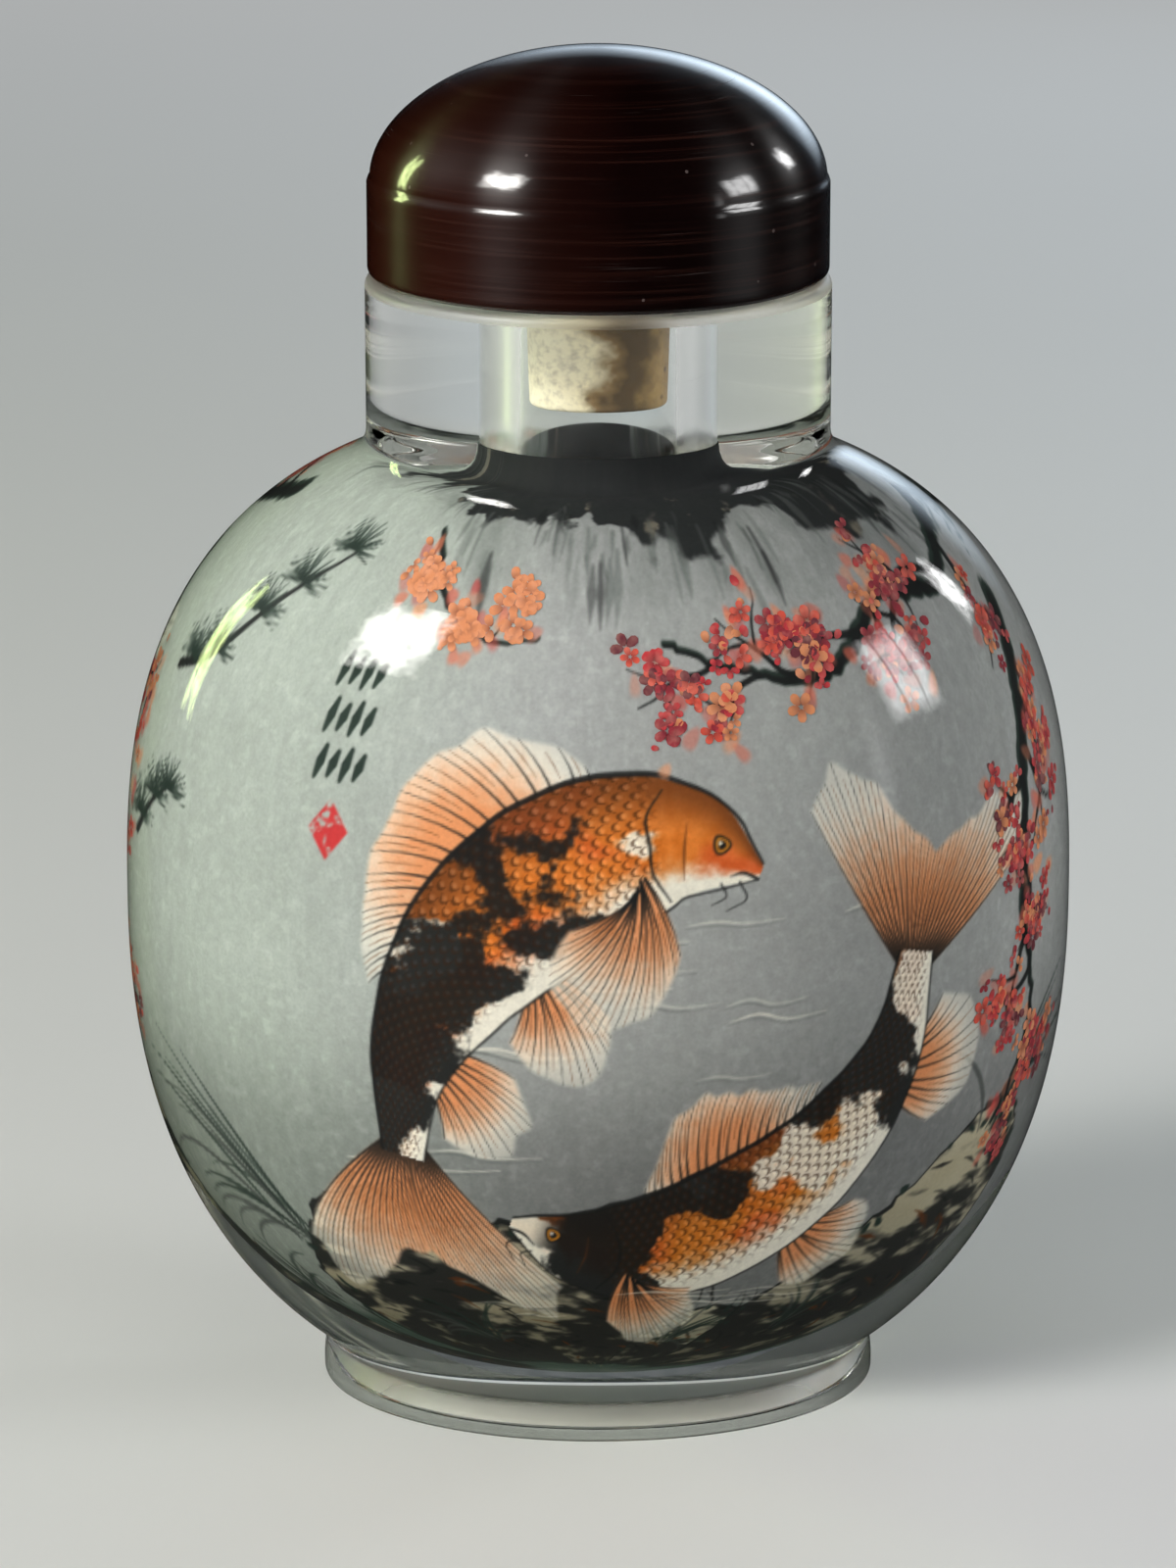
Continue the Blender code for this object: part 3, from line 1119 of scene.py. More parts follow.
@dataclass
class Carp:
    """One ornamental carp seen from the side, along a curved back line from snout to tail root."""

    spine: tuple
    height: float
    patch_seed: int
    belly_side: float = 1.0
    redness: float = 0.5
    dark_share: float = 0.45
    girth: tuple = (0.10, 0.56, 0.80, 0.94, 1.0, 0.97, 0.86, 0.70, 0.52, 0.36, 0.27)
    far_fins: tuple = (
        Fin((0.98, -0.8), (0.98, 0.8), (-44, 44), (1.18, 1.44, 1.16, 0.84, 0.76, 0.86, 1.16, 1.48, 1.24), 25,
            10.0),
        Fin((0.28, -0.9), (0.68, -0.9), (-96, -30), (0.10, 0.52, 0.60, 0.50, 0.40, 0.30, 0.18), 19, 26.0),
        Fin((0.76, 0.75), (0.86, 0.75), (100, 30), (0.36, 0.58, 0.62, 0.50, 0.30), 9, -22.0),
        Fin((0.50, 0.80), (0.56, 0.80), (104, 32), (0.40, 0.64, 0.68, 0.54, 0.34), 10, -22.0),
    )
    near_fin: Fin = Fin((0.235, 0.42), (0.265, 0.62), (114, 24), (0.50, 0.80, 0.90, 0.74, 0.42), 14, -26.0)
    scale_size: tuple = (0.80, 0.62)

    def __post_init__(self) -> None:
        """Works out the body's centre line and directions."""
        self.line = smooth_path(self.spine, 0.30)
        steps = np.linalg.norm(np.diff(self.line, axis=0), axis=1)
        self.run = np.concatenate([[0.0], np.cumsum(steps)])
        self.length = self.run[-1]
        ahead = np.gradient(self.line, axis=0)
        self.ahead = ahead / np.linalg.norm(ahead, axis=1)[:, None]
        self.side = np.stack([self.ahead[:, 1], -self.ahead[:, 0]], axis=1) * self.belly_side

    def half_height(self, share: Array) -> Array:
        """Half of the body's height at a share of its length."""
        return np.interp(share, np.linspace(0, 1, len(self.girth)), self.girth) * self.height / 2

    def spot(self, share: float, across: float) -> tuple:
        """A point of the body, and the directions there.

        Args:
            share: How far from snout (0) to tail root (1).
            across: From the back (-1) to the belly (1).

        Returns:
            The point, the direction towards the tail and the direction towards the belly.
        """
        index = min(int(share * (len(self.line) - 1)), len(self.line) - 1)
        point = self.line[index] + self.side[index] * across * self.half_height(share)
        return point, self.ahead[index], self.side[index]

    def fan(self, canvas: Canvas, fin: Fin) -> None:
        """Paints a fin: soft webs with fine ink rays.

        Args:
            canvas: Where it paints.
            fin: The fin.
        """
        random = np.random.default_rng(self.patch_seed + fin.rays)
        lines = []
        for u in np.linspace(0.0, 1.0, fin.rays):
            point, ahead, side = self.spot(*blend(np.array(fin.first), np.array(fin.last), u))
            length = np.interp(u, np.linspace(0, 1, len(fin.lengths)), fin.lengths) * self.height
            step_length = length * random.uniform(0.95, 1.04) / 5
            path = [point]
            for step in range(5):
                turn = math.radians(blend(*fin.angles, u) + fin.curl * step / 5)
                path.append(path[-1] + (ahead * math.cos(turn) + side * math.sin(turn)) * step_length)
            lines.append(smooth_path(path, 0.3))
        tips = smooth_path([line[-1] for line in lines], 0.3)
        roots = np.array([line[0] for line in lines])
        web = np.vstack([roots, lines[-1][1:-1], tips[::-1], lines[0][-2:0:-1]])
        cells, grid_s, grid_t, cover = canvas.shape_cover(web, 0.30)
        middle = roots.mean(0)
        reach = np.linalg.norm(tips - middle, axis=1).max()
        share = np.clip(np.hypot(grid_s - middle[0], grid_t - middle[1]) / reach, 0.0, 1.0)
        fine = canvas.noise(0.5, self.patch_seed + 3)[cells]
        toward = ease(0.25, 0.85, share + (fine - 0.5) * 0.15)[..., None]
        silk = blend(blend(ORANGE, WHITE, 0.25), WHITE, toward)
        canvas.lay(cells, silk, cover * (0.93 - 0.42 * ease(0.55, 1.0, share)))
        for line in lines:
            canvas.stroke(line, (0.20, 0.12, 0.07, 0.03), INK, 0.80, 0.07)
        for before, after in zip(lines[:-1], lines[1:]):
            count = min(len(before), len(after))
            between = (before[:count] + after[:count]) / 2
            canvas.stroke(between[count // 3 :], (0.03, 0.08, 0.03), UMBER, 0.65, 0.07)

    def paint_body(self, canvas: Canvas) -> None:
        """Paints the flesh, its patches and its scales.

        Args:
            canvas: Where it paints.
        """
        reach = self.height * 0.6
        cells, grid_s, grid_t = canvas.window(self.line.min(0) - reach, self.line.max(0) + reach)
        nearest = np.zeros(grid_s.shape, dtype=int)
        best = np.full(grid_s.shape, 1e9)
        for index, point in enumerate(self.line):
            gap = (grid_s - point[0]) ** 2 + (grid_t - point[1]) ** 2
            nearest[gap < best] = index
            best = np.minimum(best, gap)
        ds = grid_s - self.line[nearest, 0]
        dt = grid_t - self.line[nearest, 1]
        slide = ds * self.ahead[nearest, 0] + dt * self.ahead[nearest, 1]
        along = self.run[nearest] + slide
        share = np.clip(along / self.length, 0.0, 1.0)
        half = self.half_height(share)
        across = (ds * self.side[nearest, 0] + dt * self.side[nearest, 1]) / half
        overrun = np.maximum(-along, along - self.length)
        cover = np.clip((1 - np.abs(across)) * half / 0.12, 0.0, 1.0) * (overrun < 0.05)
        cloud = canvas.noise(3.6, self.patch_seed, 1.2)[cells]
        fine = canvas.noise(0.5, self.patch_seed + 1)[cells]
        flesh = blend(AMBER, ORANGE, self.redness)
        body = blend(flesh, blend(flesh, SCARLET, 0.35), ease(0.45, 0.75, cloud)[..., None])
        body = body + (fine[..., None] - 0.5) * 0.12
        body = blend(body, UMBER, ease(-0.10, -0.95, across)[..., None] * 0.75)
        belly = ease(0.15, 0.70, across + (fine - 0.5) * 0.3)[..., None]
        body = blend(body, WHITE * (0.94 + 0.08 * fine[..., None]), belly)
        patches = canvas.noise(5.2, self.patch_seed + 7, 1.3)[cells]
        patch_edge = 0.62 - 0.24 * self.dark_share
        patches = patches + (fine - 0.5) * 0.10 - 0.10 * np.clip(across, 0, 1)
        patch = (ease(patch_edge, patch_edge + 0.04, patches) * ease(0.03, 0.10, share))[..., None]
        white = canvas.noise(6.0, self.patch_seed + 9, 1.2)[cells]
        body = blend(body, WHITE, ease(0.60, 0.64, white + (fine - 0.5) * 0.08)[..., None] * 0.9)
        scaly = ease(0.17, 0.23, share) * ease(0.85, 0.5, across)
        row = across * self.height / 2 / self.scale_size[1]
        column = along / self.scale_size[0] + 0.5 * (np.floor(row) % 2)
        in_row, in_column = row % 1.0 - 0.5, column % 1.0
        rim = np.abs(in_column - (0.25 + 0.6 * np.sqrt(np.clip(1 - (2 * in_row) ** 2, 0, 1))))
        scale_line = (ease(0.20, 0.06, rim) * scaly)[..., None]
        glint = (ease(0.30, 0.12, np.abs(in_column - 0.55) + np.abs(in_row) * 0.6) * scaly)[..., None]
        body = blend(body, INK, patch * 0.93) + glint * 0.10 * (1 - patch * 0.5)
        canvas.lay(cells, np.clip(blend(body, UMBER * 0.6, scale_line * 0.62), 0, 1), cover)

    def paint_head(self, canvas: Canvas) -> None:
        """Paints the gill cover, the cheek, the mouth, the barbels and the eye.

        Args:
            canvas: Where it paints.
        """
        gill = [self.spot(0.165 + 0.055 * (1 - v * v), v)[0] for v in (-0.80, -0.4, 0.0, 0.4, 0.88)]
        cheek = [self.spot(0.125 + 0.03 * (1 - v * v), v)[0] for v in (-0.35, 0.1, 0.6)]
        mouth = [self.spot(0.0, 0.9)[0], self.spot(0.03, 0.35)[0], self.spot(0.055, 0.50)[0]]
        canvas.stroke(smooth_path(gill, 0.2), (0.08, 0.22, 0.10), INK, 0.82)
        canvas.stroke(smooth_path(cheek, 0.2), (0.05, 0.16, 0.05), UMBER, 0.7)
        canvas.stroke(smooth_path(mouth, 0.15), (0.20, 0.20, 0.05), INK, 0.9)
        for start, reach in ((0.03, 1.5), (0.06, 1.1)):
            point, ahead, side = self.spot(start, 0.8)
            barbel = [point, point + side * 0.5 * reach - ahead * 0.5 * reach, point + side * 1.2 * reach]
            canvas.stroke(smooth_path(barbel, 0.15), (0.12, 0.09, 0.04), INK, 0.85)
        point = self.spot(0.085, -0.22)[0]
        for size, colour in ((1.05, INK), (0.80, AMBER), (0.48, INK)):
            canvas.dab(point, size, size, 0.0, colour)
        canvas.dab(point + (-0.10, 0.10), 0.20, 0.20, 0.0, WHITE)

    def paint_outline(self, canvas: Canvas) -> None:
        """Paints the ink line along the back and, thinner, along the belly.

        Args:
            canvas: Where it paints.
        """
        lines = ((-0.98, (0.14, 0.34, 0.30, 0.22, 0.16), 0.88), (0.98, (0.10, 0.18, 0.15, 0.12), 0.75))
        for across, widths, opacity in lines:
            path = [self.spot(u, across)[0] for u in np.linspace(0.0, 1.0, 26)]
            canvas.stroke(smooth_path(path, 0.3), widths, INK, opacity)

    def paint(self, canvas: Canvas) -> None:
        """Paints the fins behind the body, the body, the head and the near fin.

        Args:
            canvas: Where it paints.
        """
        for fin in self.far_fins:
            self.fan(canvas, fin)
        self.paint_body(canvas)
        self.paint_outline(canvas)
        self.paint_head(canvas)
        self.fan(canvas, self.near_fin)


@dataclass
class BlossomBranch:
    """A flowering branch: a knotted bough, forked twigs, blossoms and buds."""

    bough: tuple
    thickness: float
    seed: int
    forks: int = 9
    tones: tuple = (0.0, 1.0)
    reach: tuple = (4.0, 7.5)
    bloom_spots: list = field(default_factory=list)

    def paint(self, canvas: Canvas) -> None:
        """Paints bough and twigs, and keeps where the blossoms go.

        Args:
            canvas: Where it paints.
        """
        random = np.random.default_rng(self.seed)
        line = smooth_path(self.bough, 0.5)
        line = line + random.normal(0.0, 0.10, line.shape)
        widths = self.thickness * np.linspace(1.0, 0.22, 12) * random.uniform(0.7, 1.2, 12)
        canvas.stroke(line, widths, GREEN_INK, 0.97, 0.14)
        canvas.stroke(line + (0.0, -0.10), widths * 0.55, INK, 0.95, 0.14)
        for fork in range(self.forks):
            index = int(len(line) * (0.10 + 0.88 * fork / self.forks))
            ahead = line[min(index + 3, len(line) - 1)] - line[max(index - 3, 0)]
            heading = math.atan2(ahead[1], ahead[0]) + random.choice((-1, 1)) * random.uniform(0.45, 1.05)
            self.twig(canvas, random, line[index], heading, random.uniform(*self.reach),
                      self.thickness * (0.42 - 0.22 * fork / self.forks), 2)

    def twig(self, canvas: Canvas, random: np.random.Generator, start: Array, heading: float,
             length: float, width: float, depth: int) -> None:
        """Grows one twig and, from it, its own forks.

        Args:
            canvas: Where it paints.
            random: The branch's random draws.
            start: Where the twig leaves the wood.
            heading: Its direction, in radians.
            length: Its length.
            width: Its half width.
            depth: How many more times it forks.
        """
        path = [start]
        for _ in range(5):
            heading += random.normal(0.0, 0.22)
            path.append(path[-1] + np.array((math.cos(heading), math.sin(heading))) * length / 5)
        line = smooth_path(path, 0.3)
        canvas.stroke(line, (width, width * 0.8, width * 0.45, 0.08), INK, 0.95)
        for station in (0.30, 0.45, 0.58, 0.70, 0.82, 0.92, 1.0):
            spot = line[int(station * (len(line) - 1))]
            if random.random() < 0.72:
                spot = spot + random.normal(0.0, 0.55, 2)
                self.bloom_spots.append((*spot, random.uniform(0.60, 1.15), random.uniform(*self.tones)))
            if random.random() < 0.35:
                wash = blend(PEACH, CRIMSON, random.uniform(0.0, 0.7))
                canvas.dab(spot + random.normal(0.0, 0.8, 2), random.uniform(0.8, 1.4),
                           random.uniform(0.6, 0.9), random.uniform(0, 3), wash,
                           random.uniform(0.35, 0.75), 0.2)
        if depth > 1:
            for side in (-1, 1):
                fork = line[int(random.uniform(0.35, 0.75) * (len(line) - 1))]
                self.twig(canvas, random, fork, heading + side * random.uniform(0.5, 1.0), length * 0.55,
                          width * 0.55, depth - 1)


@dataclass
class Reeds:
    """A tuft of long water leaves in thin ink, each bowed over to one side."""

    root: tuple
    count: int
    length: float
    lean: float
    spread: float
    seed: int
    opacity: float = 0.8

    def paint(self, canvas: Canvas) -> None:
        """Paints the leaves one by one.

        Args:
            canvas: Where it paints.
        """
        random = np.random.default_rng(self.seed)
        for _ in range(self.count):
            heading = math.radians(90 - self.lean + random.normal(0.0, self.spread))
            size = self.length * random.uniform(0.55, 1.1)
            droop = math.copysign(random.uniform(0.10, 0.26), math.cos(heading))
            path = [np.array(self.root) + random.normal(0.0, 0.5, 2) * (1.4, 0.4)]
            for _ in range(6):
                heading -= droop
                path.append(path[-1] + np.array((math.cos(heading), math.sin(heading))) * size / 6)
            ink = GREEN_INK if random.random() < 0.6 else GREY_INK * 0.75
            canvas.stroke(smooth_path(path, 0.35), (0.12, 0.38, 0.34, 0.20, 0.04), ink,
                          self.opacity * random.uniform(0.7, 1.0))


@dataclass
class Needles:
    """Pine sprays: a thin twig with round fans of needles."""

    twig: tuple
    fans: int
    size: float
    seed: int
    needles: int = 26

    def paint(self, canvas: Canvas) -> None:
        """Paints the twig and its fans.

        Args:
            canvas: Where it paints.
        """
        random = np.random.default_rng(self.seed)
        line = smooth_path(self.twig, 0.4)
        canvas.stroke(line, (0.55, 0.4, 0.2), INK, 0.95)
        for fan in range(self.fans):
            centre = line[int((0.15 + 0.85 * fan / max(1, self.fans - 1)) * (len(line) - 1))]
            centre = centre + random.normal(0.0, 0.5, 2)
            for needle in range(self.needles):
                turn = math.radians(-15 + 210 * needle / (self.needles - 1) + random.normal(0, 3))
                size = self.size * random.uniform(0.75, 1.05)
                end = centre + np.array((math.cos(turn), math.sin(turn) * 0.8)) * size
                canvas.stroke(np.array([centre, (centre + end) / 2, end]), (0.16, 0.13, 0.05),
                              GREEN_INK, 0.9, 0.09)


@dataclass
class DarkCrest:
    """The dark rock that hangs from the top of the picture, all the way round the bore."""

    base: float
    spans: tuple = ((-19.0, 40.0), (50.0, 76.0))
    seed: int = 5
    strokes: int = 300

    def paint(self, canvas: Canvas) -> None:
        """Washes the crest down from the top with a ragged lower edge, and cuts clefts into it.

        Args:
            canvas: Where it paints.
        """
        cells, grid_s, grid_t = canvas.band(self.base - 9.0, canvas.high + 1)
        ragged = canvas.noise(4.5, self.seed, 1.0)[cells]
        fine = canvas.noise(0.8, self.seed + 1, 1.5)[cells]
        tall = canvas.noise(6.0, self.seed + 2, 0.35)[cells]
        held = np.zeros(grid_s.shape, dtype=np.float32)
        for start, end in self.spans:
            for turn in (-2 * canvas.half_round, 0.0, 2 * canvas.half_round):
                near = grid_s - turn + 9.0 * (fine - 0.5)
                there = ease(start - 3.0, start + 12.0, near) * ease(end + 3.0, end - 9.0, near)
                held = np.maximum(held, there)
        edge = self.base - 1.5 + 5.0 * (ragged - 0.5) * 2 + 2.0 * (fine - 0.5) + 7.0 * (1 - held)
        cover = ease(0.0, 0.8, grid_t - edge)
        canvas.lay(cells, INK * (0.95 + 0.6 * fine[..., None]), cover * (0.86 + 0.14 * fine))
        haze = ease(-5.0, 0.0, grid_t - edge) * (1 - cover)
        canvas.lay(cells, GREY_INK, haze * 0.5 * tall)
        light = ease(0.58, 0.70, tall * 0.6 + fine * 0.4) * ease(4.5, 1.0, grid_t - edge) * cover
        canvas.lay(cells, BEIGE, light * 0.45)
        random = np.random.default_rng(self.seed)
        for _ in range(self.strokes):
            at = random.integers(edge.shape[1] - 1)
            start = np.array((grid_s[0, at], edge[0, at] + random.uniform(-0.5, 2.5)))
            size = random.uniform(0.8, 4.2)
            sway = random.normal(0.0, 0.25)
            path = start + np.array([(0, 0), (sway * 0.3, -0.5 * size), (sway, -size)])
            widths = (0.30, random.uniform(0.2, 0.9), 0.05)
            ink = INK if random.random() < 0.45 else GREY_INK
            canvas.stroke(smooth_path(path, 0.4), widths, ink, random.uniform(0.15, 0.55), 0.30)


@dataclass
class PlainMarks:
    """The place of the writing: a column of plain brush dabs, and a plain red lozenge under it."""

    top: tuple
    rows: int = 3
    gap: float = 2.5

    def paint(self, canvas: Canvas) -> None:
        """Paints the dabs, which form no letters, and the lozenge.

        Args:
            canvas: Where it paints.
        """
        for row in range(self.rows):
            level = self.top[1] - row * self.gap
            for step in range(4):
                start = np.array((self.top[0] - 1.45 + step * 0.88, level - 0.80 + 0.18 * (step % 2)))
                end = start + (0.52, 1.75 - 0.40 * (step % 2))
                canvas.stroke(np.array([start, (start + end) / 2, end]), (0.24, 0.60, 0.28), GREEN_INK, 0.94)
        centre = np.array((self.top[0], self.top[1] - self.rows * self.gap - 1.0))
        lozenge = centre + np.array([(-1.3, 0), (0, 1.7), (1.3, 0), (0, -1.7)])
        cells, _, _, cover = canvas.shape_cover(lozenge, 0.12)
        worn = canvas.noise(0.6, 77)[cells]
        canvas.lay(cells, blend(SCARLET, CRIMSON, 0.45), cover * ease(0.20, 0.40, worn) * 0.92)


@dataclass
class DarkBed:
    """The mossy ground along the bottom of the wall."""

    top: float
    seed: int = 90
    strokes: int = 260

    def paint(self, canvas: Canvas) -> None:
        """Washes the bed up to a ragged edge and sets tufts and pebbles on it.

        Args:
            canvas: Where it paints.
        """
        cells, _, grid_t = canvas.band(canvas.low - 1, self.top + 3.0)
        ragged = canvas.noise(5.0, self.seed, 2.0)[cells]
        fine = canvas.noise(0.9, self.seed + 1, 2.5)[cells]
        edge = self.top + 3.6 * (ragged - 0.5) + 1.2 * (fine - 0.5)
        cover = ease(0.5, -1.6, grid_t - edge)
        canvas.lay(cells, GREEN_INK * (1.25 + 0.9 * fine[..., None]), cover * (0.72 + 0.28 * fine))
        pale = ease(0.62, 0.70, fine * 0.6 + ragged * 0.4) * cover
        canvas.lay(cells, OCHRE * 0.75, pale * 0.55)
        random = np.random.default_rng(self.seed)
        for _ in range(self.strokes):
            at = random.integers(edge.shape[1])
            start = np.array((canvas.s[at], edge[0, at] + random.uniform(-4.0, 0.6)))
            lean = random.normal(0.0, 0.9)
            size = random.uniform(0.8, 2.6)
            path = start + np.array([(0, 0), (lean * 0.3, 0.6 * size), (lean, size)])
            canvas.stroke(smooth_path(path, 0.3), (0.22, 0.16, 0.03), INK, random.uniform(0.5, 0.95))


@dataclass
class Ripples:
    """Thin pale lines of moving water."""

    area: tuple
    count: int
    seed: int

    def paint(self, canvas: Canvas) -> None:
        """Paints the lines one by one.

        Args:
            canvas: Where it paints.
        """
        random = np.random.default_rng(self.seed)
        s_low, s_high, t_low, t_high = self.area
        for _ in range(self.count):
            start = np.array((random.uniform(s_low, s_high), random.uniform(t_low, t_high)))
            size = random.uniform(4.0, 10.0)
            rise = random.uniform(0.10, 0.35)
            wave = np.array([(0.0, 0.0), (0.3, 1.0), (0.6, -0.3), (1.0, 0.4)])
            path = smooth_path(start + wave * (size, rise), 0.3)
            canvas.stroke(path, (0.04, 0.16, 0.10, 0.03), WHITE, random.uniform(0.35, 0.75))
            canvas.stroke(path - (0.1, 0.22), (0.03, 0.14, 0.08, 0.03), GREY_INK, random.uniform(0.25, 0.5))


def paint_all(canvas: Canvas, motifs: tuple) -> list:
    """Paints motifs in their order.

    Args:
        canvas: Where they are painted.
        motifs: The motifs.

    Returns:
        The places, sizes and tones of the blossoms of every branch among them.
    """
    for motif in motifs:
        motif.paint(canvas)
    branches = [motif for motif in motifs if isinstance(motif, BlossomBranch)]
    return [spot for branch in branches for spot in branch.bloom_spots]


def paint_front(canvas: Canvas) -> list:
    """Paints the front: two carp between rocks, under a flowering branch.

    Args:
        canvas: Where it paints.

    Returns:
        The places, sizes and tones of the blossoms.
    """
    return paint_all(canvas, (
        Ripples((-16, 14, -12, 4), 16, 61),
        Rock(((-23, -30), (-24, -22), (-20, -16), (-15, -13.5), (-9, -15.5), (-4, -15.0), (1, -19), (5, -25),
              (4, -31)), 0.75, 150, 3),
        Rock(((2, -31), (5, -24.5), (10, -22.0), (15, -24), (17, -31)), 0.55, 60, 21),
        Rock(((13, -31), (12, -24), (16, -19), (21, -15), (26, -11), (31, -12), (33, -20), (30, -31)),
             0.65, 130, 4),
        Reeds((-22, -18), 15, 15.0, -30.0, 16.0, 6),
        Reeds((28, -12), 9, 12.0, 16.0, 12.0, 8),
        Reeds((-12, -26), 16, 6.5, -10.0, 26.0, 16),
        Reeds((8, -26), 18, 6.0, 12.0, 26.0, 17),
        Reeds((20, -25), 14, 6.0, -5.0, 24.0, 18),
        Carp(((9.0, 6.0), (4.5, 7.8), (-1.0, 6.6), (-6.5, 2.0), (-10.3, -4.5), (-11.6, -11.0)),
             9.8, 31, -1.0, 0.65, 0.22),
        Carp(((-5.5, -15.0), (-0.5, -17.0), (6.0, -16.4), (12.5, -12.4), (17.0, -6.2), (18.6, 0.0)),
             9.0, 52, 1.0, 0.45, 0.46),
        Ripples((-14, 16, -24, -20), 8, 62),
        Rock(((-50, -31), (-48, -16), (-43, -7), (-39.5, -2), (-37, -9), (-35.5, -16), (-31, -21), (-27, -27),
              (-26, -31)), 0.6, 160, 41),
        Reeds((-29, -23), 12, 6.0, -12.0, 24.0, 42),
        Needles(((-33, 12), (-29, 14), (-25, 18), (-21, 21.5)), 5, 2.5, 9),
        Needles(((-34, 3), (-31.5, 5.5), (-29, 7)), 3, 2.4, 19),
        PlainMarks((-15.8, 16.0)),
        BlossomBranch(((35, 20), (28, 18.2), (21.5, 19.0), (15.5, 16.2), (10, 16.6), (4.5, 18.6)),
                      1.6, 12, 10),
        BlossomBranch(((34, 15), (30.0, 9), (28.0, 1), (29.5, -6), (27.5, -12)),
                      1.7, 14, 12, (0.0, 1.0), (3.0, 5.5)),
        BlossomBranch(((-14.5, 24), (-11.5, 20.5), (-7.5, 18.5), (-4.0, 18.8)),
                      0.5, 33, 3, (0.73, 0.89), (2.2, 4.0)),
        BlossomBranch(((-41, 14), (-38.5, 6), (-39.5, -1), (-36.5, -8)),
                      1.5, 43, 9, (0.50, 0.99), (2.4, 4.6)),
    ))


def paint_back(canvas: Canvas) -> list:
    """Paints the back: one carp under a pine bough and a flowering branch, over a rock.

    Args:
        canvas: Where it paints.

    Returns:
        The places, sizes and tones of the blossoms, counted from the back's middle.
    """
    return paint_all(canvas, (
        Needles(((-27, 21), (-20, 16), (-13, 15), (-6, 11)), 8, 4.2, 71),
        Rock(((-24, -31), (-22, -22), (-16, -17), (-9, -18), (-3, -22), (2, -25), (12, -24), (20, -20),
              (25, -24), (26, -31)), 0.7, 170, 74),
        Carp(((-13.0, 3.0), (-8.0, -1.5), (-2.0, -3.6), (4.0, -3.0), (9.5, 1.0), (12.0, 6.0)),
             9.2, 93, 1.0, 0.6, 0.30),
        Reeds((-3, -22), 18, 14.0, 24.0, 18.0, 75),
        Reeds((19, -20), 10, 9.0, 10.0, 16.0, 76),
        Ripples((-2, 22, -18, -10), 10, 77),
        BlossomBranch(((27, 21), (21, 17), (16.5, 14), (12, 13.5), (6.5, 10.5), (2.0, 11.0)), 1.5, 78, 10),
    ))


def paint_picture(canvas: Canvas) -> list:
    """Paints the whole wall.

    Args:
        canvas: Where it paints.

    Returns:
        The places, sizes and tones of the blossoms.
    """
    Ground().paint(canvas)
    canvas.turn_round()
    behind = paint_back(canvas)
    canvas.turn_round()
    DarkCrest(base=25.0).paint(canvas)
    DarkBed(top=-22.5).paint(canvas)
    half = canvas.half_round
    return paint_front(canvas) + [((s + 2 * half) % (2 * half) - half, *rest) for s, *rest in behind]


